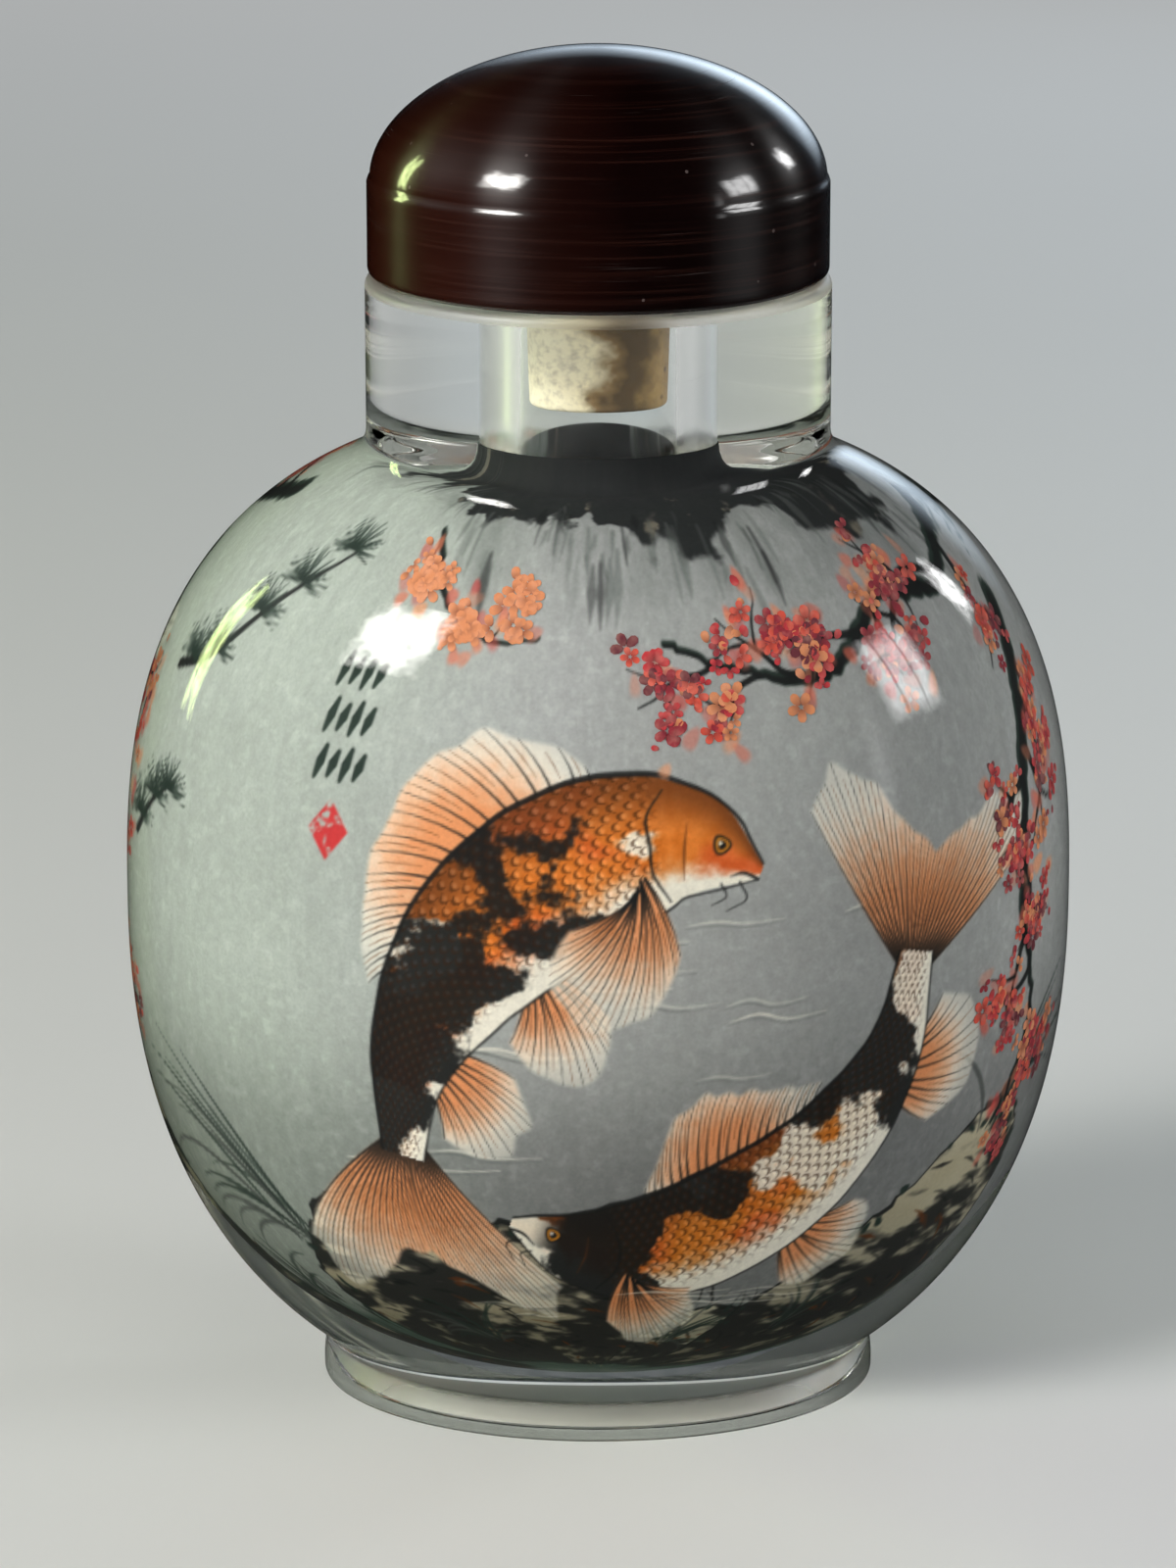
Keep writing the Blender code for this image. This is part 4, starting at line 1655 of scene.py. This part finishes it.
@dataclass
class PaintedFilm:
    """The picture on the cavity's wall: ground glass washed with colour, as panels that meet edge to edge."""

    wall: CavityWall
    canvas: Canvas
    lift: float = 0.05 * MM
    fine_cell: float = 0.100 * MM
    plain_cell: float = 0.170 * MM
    back_cell: float = 0.230 * MM
    front_edge: float = 31.5 * MM
    fine_start: float = -20.5 * MM
    fine_low: float = -27.0 * MM
    fine_high: float = 22.0 * MM
    fine_panels: int = 4
    low_rows: int = 24
    low_start: float = 0.012
    top_reach: float = 9.0 * MM
    top_stretch: float = 1.4
    flare_rows: int = 6
    flare_colour: float = 1.0 * MM

    def rows(self, cell: float) -> tuple:
        """Stations up the wall.

        Args:
            cell: The size of a cell between the fine limits.

        Returns:
            The t of each row up to the last fine one, and the shares of the rows above it.
        """
        floor = -self.wall.lower[-1]
        shares = np.linspace(self.low_start, 1.0, self.low_rows, endpoint=False)
        low = floor + (self.fine_low - floor) * shares
        count = int((self.fine_high - self.fine_low) / cell) + 1
        fine = np.linspace(self.fine_low, self.fine_high, count)
        above = np.linspace(0.0, 1.0, int(self.top_reach / cell / self.top_stretch) + 2)[1:]
        return np.concatenate([low, fine]), above

    def colour_at(self, s: Array, t: Array) -> Array:
        """The canvas's colour at places in metres, as linear light.

        Args:
            s: Places round the wall.
            t: Places up the wall.

        Returns:
            One colour per place.
        """
        canvas = self.canvas
        column = np.clip((s / MM - canvas.s[0]) / canvas.cell, 0, len(canvas.s) - 1.001)
        row = np.clip((t / MM - canvas.t[0]) / canvas.cell, 0, len(canvas.t) - 1.001)
        left, low = column.astype(int), row.astype(int)
        across, up = (column - left)[..., None], (row - low)[..., None]
        under, over = (blend(canvas.colour[line, left], canvas.colour[line, left + 1], across)
                       for line in (low, low + 1))
        display = np.clip(blend(under, over, up), 0.0, 1.0)
        return np.where(display <= 0.04045, display / 12.92, ((display + 0.055) / 1.055) ** 2.4)

    def panel(self, name: str, s_low: float, s_high: float, cell: float, paint: Material) -> Object:
        """Builds one upright panel.

        Args:
            name: The piece's name.
            s_low: Its left edge round the wall.
            s_high: Its right edge.
            cell: The size of its cells.
            paint: The film's material.

        Returns:
            The panel.
        """
        columns = np.linspace(s_low, s_high, int((s_high - s_low) / cell) + 2)
        fixed, above = self.rows(cell)
        top = self.wall.top_run(columns)
        t = np.vstack([np.repeat(fixed[:, None], len(columns), axis=1),
                       self.fine_high + (top - self.fine_high) * above[:, None]])
        points, _ = self.wall.points(columns + 0 * t, t, self.lift)
        flare = self.wall.flare_points(columns, np.linspace(0.0, 1.0, self.flare_rows + 1)[1:], self.lift)
        points = np.concatenate([points, flare])
        t = np.vstack([t, *[top + self.flare_colour] * self.flare_rows])
        faces = ring_faces(len(t), len(columns), False)
        film = mesh_object(name, points.reshape(-1, 3), faces)
        layer = film.data.color_attributes.new("paint", "FLOAT_COLOR", "POINT")
        colour = np.ones((len(film.data.vertices), 4), dtype=np.float32)
        colour[:, :3] = self.colour_at(columns + 0 * t, t).reshape(-1, 3)
        layer.data.foreach_set("color", colour.ravel())
        film.data.materials.append(paint)
        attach(film, "root")
        return film

    def build(self, paint: Material) -> list:
        """Builds the fine panels of the front, a plainer one beside them and the two of the back.

        Args:
            paint: The painted material.

        Returns:
            The panels.
        """
        half = self.wall.half_round
        edges = np.linspace(self.fine_start, self.front_edge, self.fine_panels + 1)
        panels = [("painted_front_left", -self.front_edge, self.fine_start, self.plain_cell)]
        panels += [(f"painted_front_{number + 1}", *edges[number : number + 2], self.fine_cell)
                   for number in range(self.fine_panels)]
        panels += [("painted_back_1", self.front_edge, half, self.back_cell),
                   ("painted_back_2", -half, -self.front_edge, self.back_cell)]
        return [self.panel(*panel, paint) for panel in panels]


class NodeHand(Sheet):
    """A small hand for writing one Geometry Nodes tree."""

    def __init__(self, name: str, inputs: tuple) -> None:
        """Starts a tree with its named inputs.

        Args:
            name: The tree's name.
            inputs: A name, a socket kind and a starting value for each input after the geometry.
        """
        tree = bpy.data.node_groups.new(name, "GeometryNodeTree")
        super().__init__(tree)
        tree.interface.new_socket("Geometry", in_out="INPUT", socket_type="NodeSocketGeometry")
        self.names = {}
        for label, kind, value in inputs:
            socket = tree.interface.new_socket(label, in_out="INPUT", socket_type=kind)
            self.names[label] = socket.identifier
            if value is not None:
                socket.default_value = value
        tree.interface.new_socket("Geometry", in_out="OUTPUT", socket_type="NodeSocketGeometry")
        self.given = self.add("NodeGroupInput")
        self.made = self.add("NodeGroupOutput")

    def finish(self, geometry: Socket) -> None:
        """Ends the tree in real geometry with its material.

        Args:
            geometry: What the tree has made.
        """
        real = self.add("GeometryNodeRealizeInstances", {0: geometry}).outputs[0]
        material = self.given.outputs["Material"]
        dress = self.add("GeometryNodeSetMaterial", {"Geometry": real, "Material": material})
        self.feed(self.made.inputs[0], dress.outputs[0])

    def grown(self, name: str, base: Object, values: dict) -> Object:
        """Runs the tree on an object and keeps the result as a plain mesh.

        Args:
            name: The finished piece's name.
            base: The object that the tree works on. It is removed afterwards.
            values: The inputs' values by name.

        Returns:
            The finished piece.
        """
        modifier = base.modifiers.new(self.tree.name, "NODES")
        modifier.node_group = self.tree
        for label, value in values.items():
            modifier[self.names[label]] = value
        deps = bpy.context.evaluated_depsgraph_get()
        mesh = bpy.data.meshes.new_from_object(base.evaluated_get(deps), depsgraph=deps)
        base.modifiers.remove(modifier)
        bpy.data.objects.remove(base)
        mesh.name = name
        return shown(name, mesh)


class TurnedForm:
    """The rule for a lathe-turned form: a rounded foot, a tapered side and a domed end."""

    columns: int = 144
    rings: int = 96
    foot_share: float = 0.12
    side_share: float = 0.34
    weld: float = 0.0005 * MM

    def __init__(self) -> None:
        """Builds the tree once for every turned piece."""
        floats = ("Low Radius", "High Radius", "Base", "Side", "Rise", "Foot Round")
        self.hand = NodeHand("turned_form", (
            *((label, "NodeSocketFloat", 0.01) for label in floats), ("Dome Power", "NodeSocketFloat", 2.0),
            ("Ledge", "NodeSocketFloat", 0.0), ("Material", "NodeSocketMaterial", None),
        ))
        self.write()

    def write(self) -> None:
        """Writes the tree: a grid whose rows climb the outline and whose columns run round it."""
        hand = self.hand
        given = hand.given.outputs
        grid = hand.add("GeometryNodeMeshGrid", {"Size X": 1.0, "Size Y": 1.0, "Vertices X": self.columns + 1,
                                                 "Vertices Y": self.rings + 1})
        axes = hand.axes(hand.add("GeometryNodeInputPosition").outputs[0])
        turn = hand.times(hand.math("ADD", axes["X"], 0.5), 2 * math.pi)
        climb = hand.math("ADD", axes["Y"], 0.5)
        under_end = self.foot_share / 4
        under = hand.stretch(climb, 0.0, under_end)
        foot_turn = hand.stretch(climb, under_end, self.foot_share, 0.0, math.pi / 2)
        side = hand.stretch(climb, self.foot_share, self.side_share)
        dome_turn = hand.stretch(climb, self.side_share, 1.0, 0.0, math.pi / 2)
        disc = hand.times(under, hand.math("SUBTRACT", given["Low Radius"], given["Foot Round"]))
        foot_out = hand.times(given["Foot Round"], hand.math("SINE", foot_turn))
        foot_up = hand.times(given["Foot Round"], hand.math("SUBTRACT", 1.0, hand.math("COSINE", foot_turn)))
        taper = hand.times(side, hand.math("SUBTRACT", given["High Radius"], given["Low Radius"]))
        upright = hand.times(side, hand.math("SUBTRACT", given["Side"], given["Foot Round"]))
        full = hand.math("ADD", hand.math("ADD", disc, foot_out), taper)
        bulge = hand.math("DIVIDE", 2.0, given["Dome Power"])
        wide, tall = (hand.math("POWER", hand.math("MAXIMUM", hand.math(wave, dome_turn), 0.0), bulge)
                      for wave in ("COSINE", "SINE"))
        step = hand.times(hand.stretch(dome_turn, 0.0, 0.02), given["Ledge"])
        radius = hand.times(hand.math("SUBTRACT", full, step), wide)
        lifted = hand.math("ADD", hand.math("ADD", given["Base"], foot_up), upright)
        spot = hand.add("ShaderNodeCombineXYZ", {"X": hand.times(radius, hand.math("COSINE", turn)),
                                                 "Y": hand.times(radius, hand.math("SINE", turn)),
                                                 "Z": hand.math("MULTIPLY_ADD", tall, given["Rise"], lifted)})
        feeds = {"Geometry": grid.outputs["Mesh"], "Position": spot.outputs[0]}
        move = hand.add("GeometryNodeSetPosition", feeds).outputs[0]
        weld = hand.add("GeometryNodeMergeByDistance", {"Geometry": move, "Distance": self.weld}).outputs[0]
        hand.finish(hand.add("GeometryNodeSetShadeSmooth", {"Geometry": weld}).outputs[0])

    def turn(self, name: str, material: Material, sizes: dict) -> Object:
        """Turns one piece from the rule's sizes by input name, in metres."""
        blank = shown("blank", bpy.data.meshes.new("blank"))
        return self.hand.grown(name, blank, {**sizes, "Material": material})


@dataclass
class Stopper:
    """The domed cap and the tapered cork under it."""

    lip_line: float
    cap_radius: float
    cap_top: float
    cork_radius: float
    cork_low: float
    cap_side: float = 5.6 * MM
    cap_foot: float = 0.55 * MM
    dome_power: float = 1.95
    ledge: float = 0.17 * MM
    seat_gap: float = 0.08 * MM
    cork_taper: float = 0.25 * MM
    cork_head: float = 0.3 * MM
    cork_foot: float = 0.35 * MM
    cork_power: float = 5.0

    def build(self, form: TurnedForm, resin: Material, cork: Material) -> list:
        """Turns the cap and the cork.

        Args:
            form: The rule that both follow.
            resin: The cap's finish.
            cork: The cork's finish.

        Returns:
            The cap and the cork.
        """
        base = self.lip_line + self.seat_gap
        cap = form.turn("domed_cap", resin, {
            "Low Radius": self.cap_radius, "High Radius": self.cap_radius, "Base": base,
            "Side": self.cap_side, "Rise": self.cap_top - base - self.cap_side,
            "Foot Round": self.cap_foot, "Dome Power": self.dome_power, "Ledge": self.ledge,
        })
        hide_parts("stopper_cap")
        plug = form.turn("tapered_cork", cork, {
            "Low Radius": self.cork_radius - self.cork_taper, "High Radius": self.cork_radius,
            "Base": self.cork_low, "Side": self.lip_line - self.cork_low - self.cork_head,
            "Rise": self.cork_head, "Foot Round": self.cork_foot, "Dome Power": self.cork_power,
            "Ledge": 0.0,
        })
        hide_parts("stopper_cork")
        for piece in (cap, plug):
            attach(piece, "root")
        return [cap, plug]


@dataclass
class Blossoms:
    """Small dabs of thick colour at the places that the branches give: flowers, half-open ones and buds."""

    wall: CavityWall
    spots: list
    lift: float = 0.09 * MM
    petal: float = 0.56 * MM
    rim_points: int = 9
    forms: tuple = (("Open", 5), ("Half", 3), ("Bud", 1))
    seed: int = 7

    def petals(self, label: str, count: int) -> Object:
        """One small flower that is repeated: oval petals round a middle, darker towards it.

        Args:
            label: The form's name.
            count: How many of the five petals it has.

        Returns:
            The flower, with the share of the dark heart on its points.
        """
        turns = 2 * math.pi * np.arange(self.rim_points) / self.rim_points
        way = 2 * math.pi * np.arange(count)[:, None] / 5
        reach = 0.78 - 0.62 * np.cos(turns)
        width = 0.44 * np.sin(turns) * (0.75 + 0.32 * reach)
        along, aside = np.cos(way), np.sin(way)
        points = np.stack([reach * along - width * aside, reach * aside + width * along, 0 * way * turns],
                          axis=-1).reshape(-1, 3) * self.petal
        faces = np.arange(len(points)).reshape(count, -1).tolist()
        hearts = np.tile(1.0 - reach / 1.4, count)
        flower = mesh_object(label, points, faces)
        flower.data.attributes.new("heart", "FLOAT", "POINT").data.foreach_set("value", hearts)
        return flower

    def tree(self) -> NodeHand:
        """The tree that sets a flower on every point, turned to the wall and sized by the point.

        Returns:
            The finished tree.
        """
        objects = tuple((label, "NodeSocketObject", None) for label, _ in self.forms)
        hand = NodeHand("blossoms_on_wall", (
            *objects, ("Size", "NodeSocketFloat", 1.0), ("Seed", "NodeSocketInt", self.seed),
            ("Material", "NodeSocketMaterial", None),
        ))
        given = hand.given.outputs
        bunch = hand.add("GeometryNodeJoinGeometry")
        for label, _ in self.forms:
            flower = hand.add("GeometryNodeObjectInfo", {"Object": given[label]}).outputs["Geometry"]
            hand.feed(bunch.inputs[0], hand.add("GeometryNodeGeometryToInstance", {0: flower}).outputs[0])
        named = "GeometryNodeInputNamedAttribute"
        out = hand.add(named, {"Name": "outward"}, data_type="FLOAT_VECTOR").outputs["Attribute"]
        size = hand.add(named, {"Name": "size"}, data_type="FLOAT").outputs["Attribute"]
        stand = hand.add("FunctionNodeAlignRotationToVector", {"Vector": out}, axis="Z")
        spin = hand.add("FunctionNodeRandomValue", {3: 2 * math.pi, "Seed": given["Seed"]}, data_type="FLOAT")
        twist = hand.add("FunctionNodeAxisAngleToRotation",
                         {"Axis": (0.0, 0.0, 1.0), "Angle": spin.outputs[1]})
        both = hand.add("FunctionNodeRotateRotation", {0: stand.outputs[0], 1: twist.outputs[0]},
                        rotation_space="LOCAL")
        choice = {5: len(self.forms) - 1, "Seed": hand.math("ADD", given["Seed"], 1.0)}
        pick = hand.add("FunctionNodeRandomValue", choice, data_type="INT")
        place = hand.add("GeometryNodeInstanceOnPoints", {
            "Points": given["Geometry"], "Instance": bunch.outputs[0], "Pick Instance": True,
            "Instance Index": pick.outputs[2], "Rotation": both.outputs[0],
            "Scale": hand.times(size, given["Size"]),
        })
        hand.finish(place.outputs["Instances"])
        return hand

    def build(self, paint: Material) -> Object:
        """Sets the flowers on the wall and joins them into one piece.

        Args:
            paint: The blossoms' material.

        Returns:
            The piece.
        """
        places = np.array(self.spots)
        points, outward = self.wall.points(places[:, 0] * MM, places[:, 1] * MM, self.lift)
        seeds = mesh_object("blossom_spots", points, [])
        layers = (("outward", "FLOAT_VECTOR", outward), ("size", "FLOAT", places[:, 2]),
                  ("tone", "FLOAT", places[:, 3]))
        for name, kind, values in layers:
            layer = seeds.data.attributes.new(name, kind, "POINT")
            layer.data.foreach_set("vector" if kind == "FLOAT_VECTOR" else "value", values.ravel())
        flowers = {label: self.petals(label, count) for label, count in self.forms}
        made = self.tree().grown("painted_blossoms", seeds, {**flowers, "Size": 1.0, "Seed": self.seed,
                                                            "Material": paint})
        for flower in flowers.values():
            bpy.data.objects.remove(flower)
        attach(made, "root")
        return made


@dataclass(frozen=True)
class BlossomFinish:
    """Thick reds and peach, one tone to a flower, deeper at its heart."""

    stops: tuple = ((0.0, (0.27, 0.010, 0.024)), (0.28, (0.46, 0.022, 0.030)), (0.54, (0.58, 0.062, 0.034)),
                    (0.72, (0.62, 0.22, 0.090)), (0.90, (0.12, 0.010, 0.022)), (1.0, (0.12, 0.010, 0.022)))
    pale: tuple = (0.80, 0.46, 0.36)
    heart: tuple = (0.085, 0.006, 0.012)

    def material(self) -> Material:
        """Builds the matt material that reads each flower's tone.

        Returns:
            The material.
        """
        material, sheet, shader = fresh_material("blossom_gouache")
        tone, heart = (sheet.add("ShaderNodeAttribute", attribute_name=name).outputs["Fac"]
                       for name in ("tone", "heart"))
        own = sheet.ramp(self.stops, tone, "CONSTANT")
        wash = sheet.noise(sheet.place(), 1500.0, 2.0)
        pooled = sheet.mix(sheet.stretch(wash, 0.42, 0.72, 0.0, 0.22), own, rgba(self.pale))
        deep = sheet.times(sheet.stretch(heart, 0.25, 0.95), 0.72)
        sheet.fill(shader, {"Base Color": sheet.mix(deep, pooled, rgba(self.heart)), "Roughness": 0.75})
        return material


def look_at(thing: Object, target: tuple) -> None:
    """Turns a camera or a lamp to look at a place."""
    way = Vector(target) - thing.location
    thing.rotation_euler = way.to_track_quat("-Z", "Y").to_euler()


@dataclass(frozen=True)
class Lamp:
    """A soft rectangular lamp.

    The azimuth runs in degrees from the camera's side (-Y) towards +X and the elevation above the floor.
    Edge is the share of the half width over which the lamp fades, as a curtained window does, and cloud
    its uneven brightness. Panes counts a window's panes across and up. Polish shows the lamp where it is
    mirrored, and clear glass where it shines through as well.
    """

    name: str
    azimuth: float
    elevation: float
    size: tuple
    power: float
    colour: tuple = (1.0, 1.0, 1.0)
    edge: float = 0.9
    cloud: float = 0.0
    panes: tuple = (1, 1)
    distance: float = 0.6
    mirrored: bool = True
    through: bool = True

    def soften(self, data: bpy.types.Light) -> None:
        """Fades the lamp towards its edges and clouds it.

        Args:
            data: The lamp's data.
        """
        data.use_nodes = True
        sheet = Sheet(data.node_tree)
        spot = sheet.add("ShaderNodeNewGeometry").outputs["Parametric"]
        axes = sheet.axes(spot)
        patch = sheet.noise(spot, 3.4, 5.0, 0.6)
        shine = sheet.stretch(patch, 0.35, 0.62, 1.0 + self.cloud, 1.0 - self.cloud)
        for axis, count in zip(("X", "Y"), self.panes):
            off = sheet.math("ABSOLUTE", sheet.math("SUBTRACT", axes[axis], 0.5))
            torn = sheet.math("MULTIPLY_ADD", sheet.math("SUBTRACT", patch, 0.5), self.cloud, off)
            shine = sheet.times(shine, sheet.stretch(torn, 0.5, 0.5 - self.edge / 2))
            if count > 1:
                repeat = sheet.math("PINGPONG", sheet.times(axes[axis], count), 0.5)
                shine = sheet.times(shine, sheet.stretch(repeat, 0.02, 0.10, 0.45, 1.0))
        sheet.feed(data.node_tree.nodes["Emission"].inputs["Strength"], shine)

    def build(self, centre: tuple) -> None:
        """Adds the lamp, looking at the centre.

        Args:
            centre: What the lamp looks at.
        """
        data = bpy.data.lights.new(self.name, "AREA")
        data.shape = "RECTANGLE"
        data.size, data.size_y = self.size
        data.energy = self.power
        data.color = self.colour
        self.soften(data)
        made = shown(self.name, data)
        turn, rise = math.radians(self.azimuth), math.radians(self.elevation)
        way = Vector((math.sin(turn) * math.cos(rise), -math.cos(turn) * math.cos(rise), math.sin(rise)))
        made.location = Vector(centre) + way * self.distance
        made.visible_glossy = self.mirrored
        made.visible_transmission = self.mirrored and self.through
        look_at(made, centre)


@dataclass
class Studio:
    """A pale floor, soft lamps and the camera at the photograph's angle."""

    camera_place: tuple = (-0.0006, -0.350, 0.134)
    camera_aim: tuple = (-0.0006, 0.0, 0.0367)
    lens: float = 140.6
    floor_half: float = 3.0
    centre: tuple = (0.0, 0.0, 0.04)
    floor_tones: tuple = ((0.66, 0.66, 0.65), (0.72, 0.72, 0.71))
    floor_fade: tuple = (0.22, 0.80)
    backdrop: tuple = (0.52, 0.53, 0.53)
    sky: tuple = (0.112, 0.120, 0.133)
    lamps: tuple = (
        Lamp("key", -55.0, 36.0, (0.24, 0.22), 6.8, (1.0, 0.98, 0.94), 0.8, 0.45),
        Lamp("left_strip", -115.0, 15.0, (0.095, 0.30), 0.90, (0.81, 1.0, 0.42), 0.4, 0.5),
        Lamp("left_card", -95.0, 30.0, (0.7, 0.6), 0.45, (1.0, 1.0, 0.97)),
        Lamp("right_card", 62.0, 4.0, (0.07, 0.34), 0.12),
        Lamp("right_window", 78.0, 21.0, (0.22, 0.22), 1.5, edge=0.4, cloud=0.2, panes=(3, 1)),
        Lamp("right_rear", 120.0, 24.0, (0.11, 0.16), 0.9, edge=0.8, cloud=0.4),
        Lamp("rim", 165.0, 14.0, (0.50, 0.28), 1.25, (0.72, 0.86, 1.0), through=False),
        Lamp("overhead", 0.0, 80.0, (0.8, 0.8), 2.2, distance=0.9, mirrored=False),
        Lamp("low_fill", -38.0, 7.0, (0.3, 0.2), 3.1, (1.0, 0.98, 0.95), mirrored=False),
        Lamp("front_fill", 30.0, 18.0, (0.5, 0.4), 1.1, mirrored=False),
    )

    def camera(self) -> None:
        """Adds the camera."""
        data = bpy.data.cameras.new("camera")
        data.lens = self.lens
        data.sensor_width = 36.0
        data.clip_start = 0.01
        made = shown("camera", data)
        made.location = self.camera_place
        look_at(made, self.camera_aim)
        bpy.context.scene.camera = made

    @staticmethod
    def first_mirror(sheet: Sheet) -> Socket:
        """A mask of the rays that a polished surface mirrors before any of them has been inside glass.

        Args:
            sheet: The world's sheet.

        Returns:
            The mask, 0 or 1.
        """
        path = sheet.add("ShaderNodeLightPath")
        outside = sheet.math("LESS_THAN", path.outputs["Transmission Depth"], 0.5)
        return sheet.times(path.outputs["Is Glossy Ray"], outside)

    def floor(self) -> None:
        """Adds the floor, which pales into the backdrop and which polish mirrors as dark as a black card."""
        half = self.floor_half
        points = np.array([(-half, -half, 0.0), (half, -half, 0.0), (half, half, 0.0), (-half, half, 0.0)])
        floor = mesh_object("floor", points, [(0, 1, 2, 3)])
        material, sheet, shader = fresh_material("pale_floor")
        place = sheet.place()
        tone = sheet.mix(sheet.noise(place, 6.0, 3.0), *(rgba(tone) for tone in self.floor_tones))
        sheet.fill(shader, {"Base Color": tone, "Roughness": 0.55})
        length = sheet.add("ShaderNodeVectorMath", {0: place}, operation="LENGTH")
        away = sheet.add("ShaderNodeEmission", {"Color": rgba(self.backdrop)})
        black = sheet.add("ShaderNodeEmission", {"Strength": 0.0})
        far = sheet.stretch(length.outputs["Value"], *self.floor_fade)
        fade = sheet.choose(far, shader.outputs["BSDF"], away.outputs["Emission"])
        sheet.surface(sheet.choose(self.first_mirror(sheet), fade, black.outputs["Emission"]))
        floor.data.materials.append(material)

    def build(self) -> None:
        """Adds the world, the floor, the camera and the lamps."""
        bpy.context.scene.view_settings.view_transform = "Standard"
        paths = bpy.context.scene.cycles
        paths.max_bounces = 24
        paths.glossy_bounces = 16
        paths.transmission_bounces = 16
        world = bpy.data.worlds.new("studio")
        world.use_nodes = True
        sky = world.node_tree.nodes["Background"]
        sheet = Sheet(world.node_tree)
        seen = sheet.add("ShaderNodeLightPath").outputs["Is Camera Ray"]
        sheet.fill(sky, {"Color": sheet.mix(seen, rgba(self.sky), rgba(self.backdrop)),
                         "Strength": sheet.math("SUBTRACT", 1.0, self.first_mirror(sheet))})
        bpy.context.scene.world = world
        self.camera()
        self.floor()
        for lamp in self.lamps:
            lamp.build(self.centre)


def main() -> None:
    """Builds the bottle, its picture and its stopper, in order, and reports each piece."""
    logging.basicConfig(level=logging.INFO, format="%(name)s: %(message)s")
    low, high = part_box("bottle")
    form = BottleForm(width=high.x - low.x, depth=high.y - low.y, lip_line=high.z)
    Studio().build()
    marks = handling_marks()
    glass = (GlassFinish("polished_glass"),
             GlassFinish("ground_bore", roughness=0.30, clear_line=form.lip_line - form.bore_clear),
             # Painted reflection: the lip's warm tint stands in for the cork's colour seen in the lip.
             GlassFinish("ground_lip", tone=(0.99, 0.945, 0.87), roughness=0.45))
    made = [Bottle(form).build(*(finish.material(marks) for finish in glass))]
    _, cap_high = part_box("stopper_cap")
    cork_low, cork_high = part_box("stopper_cork")
    stopper = Stopper(lip_line=form.lip_line, cap_radius=cap_high.x, cap_top=cap_high.z,
                      cork_radius=cork_high.x, cork_low=cork_low.z)
    made += stopper.build(TurnedForm(), ResinFinish().material(marks), CorkFinish().material())
    wall = CavityWall(form)
    canvas = Canvas(wall.half_round / MM)
    spots = paint_picture(canvas)
    made += PaintedFilm(wall, canvas).build(PaintFinish().material())
    made.append(Blossoms(wall, spots).build(BlossomFinish().material()))
    for piece in made:
        LOG.info("%s: %d faces", piece.name, len(piece.data.polygons))


if __name__ == "__main__":
    main()
